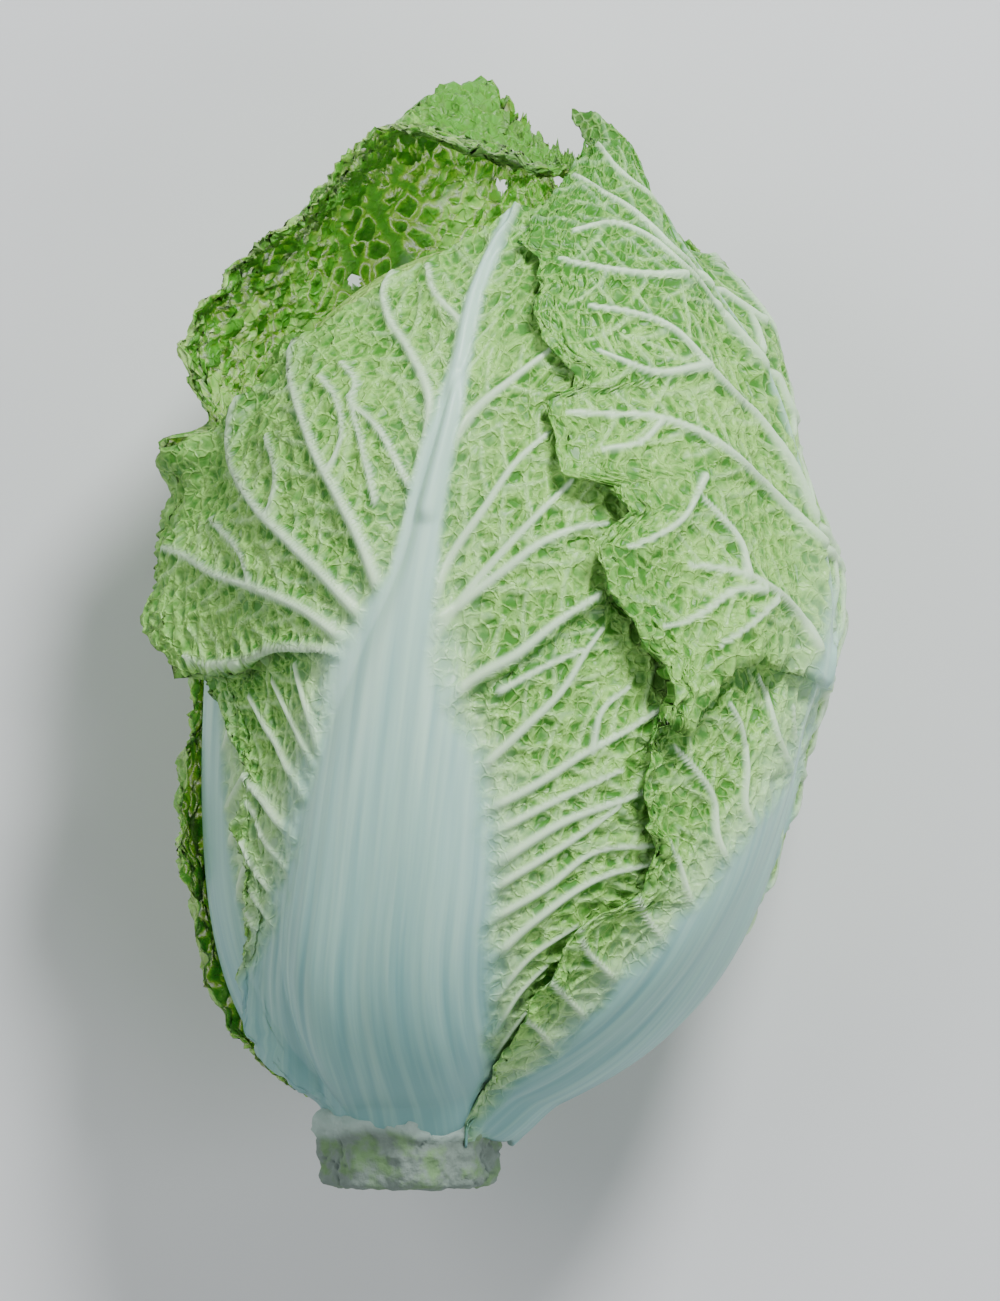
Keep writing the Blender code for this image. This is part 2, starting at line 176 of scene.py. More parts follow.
DRESS = {
    "leaf_left": dict(edge_tint=0.2),
    "leaf_under": dict(),
    "leaf_back": dict(
        cells=(190, 256),
        dense=(0.25, 0.3),
        seen_inside=True,
        edge_tint=0.75,
        lifts=[
            (9, -168, 50, 116, 24), (9, -190, 40, 116, 26), (1, -95, 40, 116, 14), (5, -30, 50, 116, 14),
            (-7, -86, 20, 40, 12), (-5, -96, 36, 100, 22),
        ],
        tip_turn=84,
        holes=[(502, 177, 6), (352, 276, 7)],
        flare=6.0,
        frill=1.6,
        wave=4.5,
        wavy=2.2,
        veins=[(2.4, [(385, 292), (394, 274), (420, 222), (443, 191), (463, 160), (478, 130)])],
    ),
    "leaf_front": dict(
        cells=(248, 340),
        coarse=(1, 4),
        ruled=(),
        lifts=[(7, -88, 26, -6, 20)],
        folds=[
            (5.0, 2.6, [
                (120, 706, 1), (160, 704, 1), (186, 676, 1), (206, 668, 1), (224, 671, 0.95),
                (249, 666, 0.9), (280, 654, 0.7), (302, 652, 0.6), (331, 654, 0.3), (350, 660, 0),
            ]),
            (2.0, 0.8, [
                (440, 715, 0), (478, 688, 0.6), (515, 667, 0.9), (553, 637, 1), (597, 606, 1),
                (640, 575, 1),
            ]),
        ],
        stalk=(
            [
                (290, 1180), (250, 1130), (235, 1040), (229, 998), (246, 970), (262, 950), (275, 915),
                (291, 865), (296, 835), (302, 789), (325, 736), (334, 690), (345, 650), (370, 605),
                (391, 576), (402, 540), (411, 500), (424, 450), (436, 420), (454, 363), (469, 298),
                (491, 248), (512, 200),
            ],
            [
                (475, 1180), (476, 1128), (490, 1050), (492, 950), (490, 850), (480, 770), (466, 735),
                (450, 707), (441, 650), (438, 588), (441, 540), (447, 500), (455, 450), (462, 420),
                (470, 363), (483, 298), (503, 248), (520, 200),
            ],
        ),
        veins=[
            (2.6, [(431, 500), (443, 451), (461, 363), (475, 298), (496, 248), (508, 230), (520, 201)]),
            (1.7, [(423, 480), (431, 401), (408, 351), (390, 322), (386, 292), (396, 275)]),
            (1.7, [(384, 594), (369, 555), (343, 503), (320, 459), (302, 407), (291, 360), (300, 335)]),
            (1.7, [
                (369, 623), (337, 588), (302, 552), (261, 511), (237, 473), (229, 438), (234, 409),
                (244, 392),
            ]),
            (1.6, [(352, 643), (302, 608), (255, 588), (220, 576), (185, 555), (164, 548)]),
            (1.8, [(341, 655), (302, 649), (278, 650), (249, 660), (223, 664), (206, 664), (187, 656)]),
            (1.7, [(322, 738), (306, 690), (298, 664)]),
            (1.2, [(312, 752), (290, 710), (275, 680)]),
            (1.3, [(302, 782), (275, 735), (252, 696)]),
            (1.6, [(289, 824), (268, 798), (247, 775), (238, 755), (231, 739), (220, 718), (215, 700)]),
            (1.2, [(291, 865), (272, 840), (251, 800)]),
            (1.1, [(285, 900), (262, 870), (245, 840)]),
            (1.0, [(268, 943), (256, 922), (247, 904)]),
            (1.0, [(275, 920), (264, 903), (254, 888)]),
            (0.8, [(408, 483), (373, 424), (355, 407), (358, 386), (343, 366)]),
            (0.8, [(458, 324), (434, 295), (428, 270)]),
            (0.7, [(378, 505), (362, 440), (352, 400)]),
            (0.7, [(330, 478), (345, 440), (338, 400), (322, 380)]),
            (0.7, [(270, 520), (278, 480), (268, 440)]),
            (0.7, [(255, 590), (240, 550), (215, 520)]),
            (1.5, [(452, 451), (475, 418), (516, 383), (549, 357)]),
            (1.3, [(440, 590), (450, 564), (485, 511), (518, 464), (547, 438)]),
            (1.3, [(445, 625), (459, 605), (509, 547), (547, 508), (570, 485)]),
            (1.5, [(450, 614), (503, 573), (538, 547), (582, 529), (605, 526)]),
            (1.9, [(444, 703), (478, 676), (515, 655), (553, 625), (597, 596)]),
            (0.8, [(500, 690), (540, 668), (580, 650)]),
            (1.3, [(480, 767), (529, 721), (561, 689), (584, 652), (600, 629)]),
            (1.4, [(483, 808), (538, 780), (579, 753), (630, 725), (659, 707)]),
            (0.8, [(590, 748), (600, 709), (627, 686)]),
            (1.3, [(492, 829), (561, 794), (618, 767)]),
            (1.6, [(499, 856), (561, 819), (646, 787)]),
            (1.3, [(496, 881), (572, 835), (616, 803)]),
            (1.2, [(499, 909), (547, 881), (595, 847), (650, 842)]),
            (1.3, [(500, 945), (529, 918), (597, 874), (670, 856)]),
            (1.0, [(500, 985), (530, 950), (575, 920)]),
            (0.9, [(497, 1020), (520, 985), (545, 960)]),
            (0.8, [(492, 1060), (508, 1030), (525, 1005)]),
        ],
    ),
    "leaf_right": dict(
        cells=(248, 340),
        dense=(-0.2, 0.0),
        coarse=(1, 4),
        ruled=(1,),
        tuck=0.55,
        calm=0.8,
        steep=0.4,
        lifts=[(-5, 100, 60, 109, 22), (-3.5, 85, 50, 97, 24)],
        tip_deep=1.0,
        folds=[
            (7.5, 2.6, [
                (640, 712, 1), (664, 722, 1), (676, 724, 1), (690, 706, 1), (700, 686, 1), (712, 672, 1),
                (735, 662, 0.95), (762, 664, 0.85), (793, 672, 0.7), (818, 686, 0.4), (832, 694, 0),
            ]),
        ],
        margin=[
            (591, 100), (591, 117), (579, 143), (563, 174), (537, 208), (524, 219), (530, 231),
            (517, 245), (532, 258), (544, 292), (541, 319), (544, 342), (556, 360), (567, 374),
            (570, 395), (547, 404), (547, 427), (556, 450), (559, 462), (562, 478), (591, 485),
            (617, 487), (620, 503), (626, 514), (614, 523), (600, 535), (597, 564), (602, 594),
            (623, 623), (632, 646), (655, 665), (664, 690), (662, 725), (655, 743), (649, 767),
            (646, 796), (655, 812), (650, 826), (655, 850), (640, 886), (609, 905), (583, 915),
            (559, 952), (523, 998), (510, 1041), (480, 1098), (473, 1124), (470, 1180),
        ],
        stalk=(
            [
                (470, 1180), (480, 1125), (500, 1091), (540, 1061), (573, 1028), (616, 978), (662, 932),
                (690, 905), (712, 870), (738, 839), (762, 806), (786, 780), (806, 735), (815, 700),
                (818, 660), (827, 620), (833, 575), (832, 530), (818, 465), (812, 425), (806, 385),
                (795, 345), (775, 306), (750, 272), (720, 242), (684, 212), (650, 182), (620, 152),
                (610, 125),
            ],
            [
                (940, 1180), (930, 860), (880, 815), (824, 790), (838, 738), (842, 682), (845, 656),
                (854, 608), (857, 570), (852, 520), (834, 456), (825, 421), (810, 377), (790, 336),
                (762, 298), (732, 263), (699, 234), (663, 204), (623, 172), (602, 146), (594, 119),
            ],
        ),
        veins=[
            (1.6, [
                (822, 738), (828, 682), (831, 656), (841, 608), (845, 570), (842, 520), (823, 456),
                (814, 421), (799, 377), (779, 336), (752, 298), (723, 263), (691, 234), (655, 204),
                (617, 172), (597, 146),
            ]),
            (1.7, [(828, 668), (820, 655), (787, 605), (743, 576), (715, 570), (685, 567)]),
            (1.2, [(743, 576), (737, 547), (714, 517), (699, 501)]),
            (1.0, [(760, 590), (731, 591), (700, 612), (685, 620), (660, 628)]),
            (1.6, [
                (838, 560), (820, 541), (773, 500), (729, 459), (693, 435), (655, 422), (597, 419),
                (567, 418),
            ]),
            (1.6, [
                (830, 540), (814, 517), (787, 467), (752, 418), (735, 401), (705, 371), (661, 330),
                (626, 319), (588, 313),
            ]),
            (1.1, [(705, 371), (647, 377), (617, 366), (597, 357)]),
            (1.5, [
                (810, 420), (800, 420), (773, 377), (735, 333), (705, 295), (676, 266), (647, 242),
                (611, 228), (573, 236),
            ]),
            (1.0, [(682, 280), (641, 280), (603, 275), (559, 266)]),
            (1.3, [(760, 320), (720, 292), (676, 257), (632, 216), (597, 192), (573, 178)]),
            (0.9, [(700, 480), (680, 520), (650, 540), (625, 550)]),
            (0.8, [(773, 600), (745, 625), (715, 645)]),
            (0.8, [(660, 424), (640, 445), (600, 455)]),
            (1.2, [(790, 770), (774, 732), (762, 690), (755, 675)]),
            (1.2, [(755, 830), (743, 809), (743, 761), (736, 722), (724, 702)]),
            (1.2, [(725, 860), (713, 837), (709, 793), (692, 768), (672, 746)]),
            (1.1, [(800, 765), (793, 740), (790, 705)]),
            (1.1, [(690, 905), (678, 870), (668, 835)]),
            (1.0, [(660, 935), (640, 905), (630, 880)]),
            (1.0, [(616, 978), (600, 960), (585, 945), (575, 915)]),
            (0.9, [(585, 1012), (560, 985), (545, 970)]),
            (0.9, [(555, 1045), (535, 1020), (522, 1010)]),
            (1.1, [(805, 790), (812, 753), (840, 700), (852, 656), (850, 617)]),
        ],
    ),
}

# All sizes from here to the stage are in millimetres.
# A margin's scallops as (height, size, seed), the width of the grid they are taken from, how far they turn
# the sides, and how far they show on a margin that follows the photograph.
SCALLOPS = [(1.6, 4.2, 0), (1.1, 1.7, 1), (0.7, 0.8, 3)]
SCALLOP_GRID, SIDE_SCALLOP, MARGIN_SCALLOP = 60, 1.4, 1.2
# The most a margin moves at a time, in degrees, and the most that it is tucked in.
MOST_TURN, DEEPEST_TUCK = 20, 6
# A pleat's wander and its wave, how round its lip is, how far its rise fades over and how far the painted
# shadow under it reaches.
PLEAT_WANDER, PLEAT_WAVE, PLEAT_ROUND, PLEAT_FADE, PLEAT_SHADE = 1.1, 4.5, 0.8, 40, 7.0
# How far the stalk's foot runs on to the stem, its edge wanders, and the pale zone beside it reaches.
HEEL, STALK_WANDER, PALE_ZONE = 5.0, 2.0, 15
# Large veins: how far they are felt at most, in half widths, their swollen root as a share of the half width
# and of the length, and their highest ridge. Then the least half width of a drawn one's end, how near the
# stalk a vein starts that is taken further in, and by how many pixels.
NO_VEIN, ROOT_SWELL, ROOT_SHARE, HIGHEST_RIDGE = 12.0, 0.25, 0.2, 2.1
THINNEST_VEIN, ROOT_REACH, ROOT_PIXELS = 0.55, 4, 12
RULED_VEINS = 10
# Small veins: the least half width of a vein that has them, where the first and last leave it, and their own
# half widths at start and end, height, step and bend. Pairs are a least value and what chance adds to it.
TWIG_PARENT, TWIG_FIRST, TWIG_LAST = 0.95, 5.0, 3
TWIG_HALF_WIDTHS, TWIG_HEIGHT, TWIG_STEP, TWIG_BEND = (0.7, 0.42), 0.65, 1.3, 0.07
TWIG_GAP, TWIG_STEPS, TWIG_LEAN = (3.6, 2.6), (6, 9), (0.35, 0.4)
# The net between the veins, the hollows in it, and slow and quick waves of the blade as (height, size).
NET_CELL, NET_HEIGHT, PIT_DEPTH = 7.5, 0.5, 0.9
BILLOW, CRINKLE = (0.7, 15.0), (0.35, 3.4)
SMALL_BLISTER, BIG_BLISTER = 3.8, 10.0
RIB_SPACING, RIB_HEIGHT = 6.4, 0.22
# The lowest place of an inner face over the floor, and how far up the head the stalks' painted shade, darker
# and blue-grey at the base, fades into their pale upper colour.
LOWEST_INNER, STALK_SHADE_FADES_OVER = 0.3, 150

HEART_GRID = 220, 130
HEART_LUMP, HEART_LUMP_DEPTH = 7.0, 0.7

# The stem: its grid, middle, radius, number and size of leaf scars, and its outline as (along Y, radius).
STEM_GRID = 70, 200
STEM_MIDDLE_X, STEM_RADIUS, STEM_SCARS, SCAR_SIZE = -23.0, 22, 9, 15.0
STEM_PROFILE = [
    (-120, 13), (-124, 21), (-128, 24.6), (-131, 24.2), (-133.5, 22.8), (-136, 23.0), (-139, 22.6),
    (-142, 22.4), (-144.6, 21.2), (-145, 18), (-144, 11), (-143.4, 5), (-143.2, 0.2),
]

# Real sizes of the materials' patterns: blotches and specks of the blade, streaks of the stalk, green patches
# and fibre ends on the cut stem, and the board's faint mottle.
BLOTCH, SPECK = 16.0, 1.4
STREAK_WIDTH, STREAK_LENGTH = 3.2, 90.0
PATCH, FIBRE = 6.5, 1.1
MOTTLE = 110.0
# How much light passes through the thin blade of the back leaf, which stands up against the light, and how
# pale the net shows on it: its inner face has painted shade in the furrows between its blisters instead.
# LIGHT_REACH is how far red, green and blue light go in the leaf, in metres.
BACK_LEAF_GLOW, BACK_LEAF_NET_TINT = 0.5, 0.06
LIGHT_REACH = (0.004, 0.006, 0.002)
# How much the stalk's colour shifts from base to tip colour with its streaks and its ribs, and how high the
# streaks stand against the net. The shift with the ribs is painted shade in their grooves and painted light
# on their crests.
STREAK_DEPTH, RIB_SHADE, STREAK_HEIGHT = 0.75, 0.3, 0.25
CRACK_GREY, FRESH_GREEN = "#4A5A55", "#A2B8AF"
BOARD_GREY, BOARD_PALE = "#D3D6D8", "#DDDFE0"

# The stage, in metres: the floor's size and how far it lies under the head, the daylight's tint and strength,
# and soft lamps as (place, diameter, power) that look at the middle of the head.
FLOOR_SIZE, FLOOR_DROP = 6, 0.0002
DAYLIGHT, DAYLIGHT_STRENGTH = (0.9, 0.96, 1, 1), 0.25
LAMPS = [((0.42, 0.95, 1.0), 0.36, 27.0), ((0.9, -0.5, 1.0), 1.0, 7.5), ((-0.9, 0.3, 1.0), 1.0, 7.0)]
HEAD_MIDDLE = 0.07
SENSOR, CLIP_END = 36, 20

# Small and large numbers that keep sums safe: the least divisor, a distance beyond any, and a steepest slope.
TINY, FAR_OFF, STEEPEST = 1e-9, 1e4, 2


def smooth(t):
    """A smooth step from 0 to 1 over that range."""
    t = np.clip(t, 0, 1)
    return t * t * (3 - 2 * t)


def ramp(x, start, width):
    """A smooth rise from 0 to 1 that begins at start."""
    return smooth((x - start) / width)


def curve(points, x):
    """A smooth line through (x, value) points, level beyond its ends."""
    known, value = np.array(points, float).T
    slope = np.gradient(value, known)
    x = np.clip(x, known[0], known[-1])
    i = np.clip(np.searchsorted(known, x) - 1, 0, len(known) - 2)
    step = known[i + 1] - known[i]
    t = (x - known[i]) / step
    rise = value[i + 1] - value[i]
    bend = step * t * (1 - t) * (slope[i] * (1 - t) - slope[i + 1] * t)
    return value[i] + rise * t * t * (3 - 2 * t) + bend


def along(s):
    """Distance along Y at a share of the way from base to tip."""
    return CORE_BASE + (CORE_TIP - CORE_BASE) * (1 - np.cos(np.pi * s)) / 2


def share(y):
    """The share of the way from base to tip at a distance along Y."""
    t = np.clip((y - CORE_BASE) / (CORE_TIP - CORE_BASE), 0, 1)
    return np.arccos(1 - 2 * t) / np.pi


def core(s, angle):
    """Points on the egg-shaped core."""
    y = along(s)
    to_base = y < CORE_WIDEST
    d = np.abs(y - CORE_WIDEST) / np.where(to_base, CORE_WIDEST - CORE_BASE, CORE_TIP - CORE_WIDEST)
    swell = np.sqrt(np.maximum(1 - d ** np.where(to_base, BASE_BLUNTNESS, TIP_BLUNTNESS), 0))
    middle = MIDDLE_X + np.where(to_base, BASE_SWAY, TIP_SWAY) * d**SWAY_POWER
    x = middle + CORE_HALF_WIDTH * swell * np.sin(angle)
    above_rest = CORE_HALF_HEIGHT * swell * np.cos(angle) + CORE_REST_DEPTH
    z = (above_rest + np.hypot(above_rest, CORE_REST_SOFTNESS)) / 2 - CORE_REST_DEPTH
    return np.stack([x, y, z], axis=-1)


def core_normal(s, angle):
    """The core's outward normals."""
    e = 1e-4
    s = np.clip(s, 0.004, 0.996)
    normal = np.cross(core(s, angle + e) - core(s, angle - e), core(s + e, angle) - core(s - e, angle))
    return normal / np.linalg.norm(normal, axis=-1, keepdims=True)


def stand_proud(s, angle, height):
    """Points at a height over the core."""
    s = np.clip(s, 0.004, 0.996)
    return core(s, angle) + np.asarray(height)[..., None] * core_normal(s, angle)


def wrapped(degrees):
    """The same angle between -180 and 180 degrees."""
    return (degrees + 180) % 360 - 180


def swell_at(s):
    """Half the core's width."""
    quarter = np.pi / 2 + 0 * s
    return np.linalg.norm(core(s, quarter)[..., [0, 2]] - core(s, -quarter)[..., [0, 2]], axis=-1) / 2


def spread(leaf, y, u):
    """How far a leaf reaches from its midrib on the side of u, in degrees."""
    middle = curve(leaf["midrib"], y)
    return np.where(u < 0, middle - curve(leaf["near"], y), curve(leaf["far"], y) - middle)


def on_leaf(leaf, u, v, trim_top=0.0):
    """The place on the core, share and degrees, of a place on the leaf, u across and v along."""
    s = BASE_RING + (share(curve(leaf["top"], u) + trim_top) - BASE_RING) * v
    y = along(s)
    return s, curve(leaf["midrib"], y) + u * spread(leaf, y, u)


def leaf_place(leaf, s, degrees):
    """A place on the core as the leaf's own share across and along."""
    y = along(s)
    turn = wrapped(degrees - curve(leaf["midrib"], y))
    u = turn / spread(leaf, y, turn)
    v = (s - BASE_RING) / (share(curve(leaf["top"], np.clip(u, -1, 1))) - BASE_RING)
    return u, v


def cover(leaf, s, degrees):
    """How far a leaf lies over each place: 1 on it, falling to 0 beside it."""
    y = along(s)
    u, _ = leaf_place(leaf, s, degrees)
    past_side = (np.abs(u) - 1) * spread(leaf, y, u)
    past_top = y - curve(leaf["top"], np.clip(u, -1, 1))
    return (1 - smooth(past_side / COVER_FADE_ANGLE)) * (1 - smooth(past_top / COVER_FADE_LENGTH))


def stalk_share(leaf, s, degrees):
    """How far out from the midrib, as a share of the stalk's half width."""
    away = wrapped(degrees - curve(leaf["midrib"], along(s))) * np.pi / 180 * swell_at(s)
    return away / curve(leaf["stalk"], along(s))


def thickness(leaf, s, degrees):
    """The leaf's thickness: its rib, thinning to the blade at the stalk's sides."""
    across = np.clip(np.abs(stalk_share(leaf, s, degrees)), 0, 1)
    return BLADE + (curve(leaf["rib"], along(s)) - BLADE) * (1 - across**2.4) ** 1.2


def edge(u, v, band=RUFFLE_BAND):
    """Rises to 1 at the leaf's margin."""
    return np.maximum(smooth((np.abs(u) - 1 + band) / band), smooth((v - 1 + band) / band))


def lift(leaf, s, degrees):
    """How far parts of the leaf stand off the head."""
    y = along(s)
    total = np.zeros(np.shape(y + degrees))
    for height, angle, angle_reach, distance, reach in leaf["lifts"]:
        far = np.hypot(wrapped(degrees - angle) / angle_reach, (y - distance) / reach)
        total = total + height * (1 - smooth(far))
    return total


def leaf_bottom(name, s, degrees):
    """Height of a leaf's inner face: it clears every leaf inside it."""
    height = CORE_GAP + 0 * s
    gap = BASE_GAP + (LEAF_GAP - BASE_GAP) * smooth((s - BASE_RING) / GAP_OPENS_BY)
    for inner, leaf in LEAVES.items():
        if inner == name:
            return height + lift(leaf, s, degrees)
        u, v = leaf_place(leaf, s, degrees)
        wave = RUFFLE_HEIGHT * edge(np.clip(u, -1, 1), np.clip(v, 0, 1)) * smooth(v * 3)
        proud = thickness(leaf, s, degrees) + lift(leaf, s, degrees) + 0.5 * wave + gap
        height = height + cover(leaf, s, degrees) * proud
    return height


def chance(i, j, seed):
    """A fixed pseudo-random number from 0 to 1 for each whole-number place."""
    n = (i.astype(np.int64) * 374761393 + j.astype(np.int64) * 668265263 + seed * 974711) & 0xFFFFFFFF
    n = ((n ^ (n >> 13)) * 1274126177) & 0xFFFFFFFF
    return (n ^ (n >> 16)) / 2**32


def noise(a, b, size, seed):
    """Smooth noise from -1 to 1, with lumps about this size."""
    a, b = a / size, b / size
    i, j = np.floor(a), np.floor(b)
    x, y = smooth(a - i), smooth(b - j)
    low = chance(i, j, seed) * (1 - x) + chance(i + 1, j, seed) * x
    high = chance(i, j + 1, seed) * (1 - x) + chance(i + 1, j + 1, seed) * x
    return 2 * (low * (1 - y) + high * y) - 1


def cells(a, b, size, seed):
    """Distance to the border between irregular cells, in the units of size."""
    a = a + noise(a, b, size * 1.7, seed + 5) * size * 0.35
    b = b + noise(a, b, size * 1.7, seed + 6) * size * 0.35
    i, j = np.floor(a / size), np.floor(b / size)
    first = np.full(a.shape, np.inf)
    second = first.copy()
    near = np.zeros((2,) + a.shape)
    next_near = near.copy()
    for di in (-1, 0, 1):
        for dj in (-1, 0, 1):
            x = (i + di + 0.15 + 0.7 * chance(i + di, j + dj, seed)) * size
            y = (j + dj + 0.15 + 0.7 * chance(i + di, j + dj, seed + 1)) * size
            d = (a - x) ** 2 + (b - y) ** 2
            closer = d < first
            between = ~closer & (d < second)
            next_near = np.where(closer, near, np.where(between, [x, y], next_near))
            second = np.where(closer, first, np.where(between, d, second))
            near = np.where(closer, [x, y], near)
            first = np.where(closer, d, first)
    apart = np.hypot(*(next_near - near)) + 1e-6
    return (second - first) / (2 * apart)


def plan(pixels):
    """Places in the photograph's pixels, as places over the core seen from above."""
    return (np.array(pixels, float) - PHOTO_MIDDLE) * (MM_PER_PIXEL, -MM_PER_PIXEL) + MIDDLE_ON_CORE


def across_at(pixels, y):
    """Where a line in the photograph's pixels, running down the picture, crosses each distance along Y."""
    line = plan(pixels)
    line = line[np.argsort(line[:, 1])]
    return np.interp(y, line[:, 1], line[:, 0])


def run_of(points):
    """Distance along a line of points, at each of them."""
    return np.concatenate([[0], np.cumsum(np.linalg.norm(np.diff(points, axis=0), axis=1))])


def through(points, step=1.5):
    """A smooth line through the points, with a point about every step."""
    run = run_of(points)
    t = np.linspace(0, run[-1], max(int(run[-1] / step), 2))
    return np.stack([curve(np.column_stack([run, points[:, k]]), t) for k in (0, 1)], axis=-1)


def from_above(pixels, surface, normals, turned=1):
    """The places on a surface that lie under a line of the photograph, seen from above."""
    flat = surface[:, :2]
    turned_away = np.where(turned * normals[:, 2] > 0.02, 0, FAR_OFF)
    found = []
    for place in through(plan(pixels)):
        gap = ((flat - place) ** 2).sum(axis=1) + turned_away
        near = np.nonzero(gap < gap.min() + 1.0)[0]
        spot = near[np.argmax(surface[near, 2])]
        off = np.clip(place - flat[spot], -1, 1)
        slope = normals[spot, :2] / (turned * max(abs(normals[spot, 2]), 0.3))
        slope = np.clip(slope, -STEEPEST, STEEPEST)
        found.append([*(flat[spot] + off), surface[spot, 2] - slope @ off])
    return np.array(found)


def side_branches(lines, surface, normals, seed):
    """Small veins that leave the larger ones on both sides and bend forward over the surface."""
    tree = KDTree(len(surface))
    for k, place in enumerate(surface):
        tree.insert(place, k)
    tree.balance()
    found = []
    for number, (line, start, _) in enumerate(lines):
        if start < TWIG_PARENT or len(line) < 4:
            continue
        run = run_of(line)
        ahead = np.gradient(line, axis=0)
        at = TWIG_FIRST
        count = 0
        while at < run[-1] - TWIG_LAST:
            luck = chance(np.array([number, count, number + count]), np.array([count, number, 7]), seed)
            side = 1 if count % 2 else -1
            spot = np.array([np.interp(at, run, line[:, axis]) for axis in range(3)])
            forward = np.array([np.interp(at, run, ahead[:, axis]) for axis in range(3)])
            forward /= np.linalg.norm(forward) + TINY
            _, nearest, _ = tree.find(spot)
            normal = normals[nearest]
            heading = forward * (TWIG_LEAN[0] + TWIG_LEAN[1] * luck[0]) + np.cross(normal, forward) * side
            path = [spot]
            for _ in range(int(TWIG_STEPS[0] + TWIG_STEPS[1] * luck[1])):
                heading = heading + TWIG_BEND * forward
                heading -= normal * (heading @ normal)
                heading /= np.linalg.norm(heading) + TINY
                spot = spot + TWIG_STEP * heading
                _, nearest, _ = tree.find(spot)
                normal = normals[nearest]
                spot = spot - normal * ((spot - surface[nearest]) @ normal)
                path.append(spot)
            found.append((np.array(path), *TWIG_HALF_WIDTHS))
            at += TWIG_GAP[0] + TWIG_GAP[1] * luck[2]
            count += 1
    return found


def vein_field(points, veins, margin=6.0):
    """(distance over half width, half width) of the nearest vein at each point.

    veins holds (line, half width at its start, half width at its end), and margin is how many half widths
    a vein is felt from.
    """
    across = np.full(len(points), NO_VEIN)
    width = np.ones(len(points))
    for line, start, end in veins:
        reach = max(start, end) * margin
        box = ((points > line.min(axis=0) - reach) & (points < line.max(axis=0) + reach)).all(axis=1)
        index = np.nonzero(box)[0]
        if not len(index) or len(line) < 2:
            continue
        p = points[index]
        best = np.full(len(p), np.inf)
        where = np.zeros(len(p))
        for k in range(len(line) - 1):
            step = line[k + 1] - line[k]
            t = np.clip(((p - line[k]) @ step) / max(step @ step, TINY), 0, 1)
            d = np.linalg.norm(p - line[k] - t[:, None] * step, axis=1)
            closer = d < best
            best[closer] = d[closer]
            where[closer] = ((k + t) / (len(line) - 1))[closer]
        half = start + (end - start) * where + ROOT_SWELL * start * (1 - smooth(where / ROOT_SHARE))
        ratio = best / half
        nearer = ratio < across[index]
        across[index[nearer]] = ratio[nearer]
        width[index[nearer]] = half[nearer]
    return across, width


def ridge_over(across, half):
    """Height of a vein's rounded ridge."""
    return np.minimum(1.25 * half, HIGHEST_RIDGE) * np.clip(1 - (across / 1.35) ** 2, 0, 1) ** 1.6


def grid_normals(points):
    """A grid's outward normals."""
    normal = np.cross(np.gradient(points, axis=1), np.gradient(points, axis=0))
    return normal / (np.linalg.norm(normal, axis=-1, keepdims=True) + 1e-12)


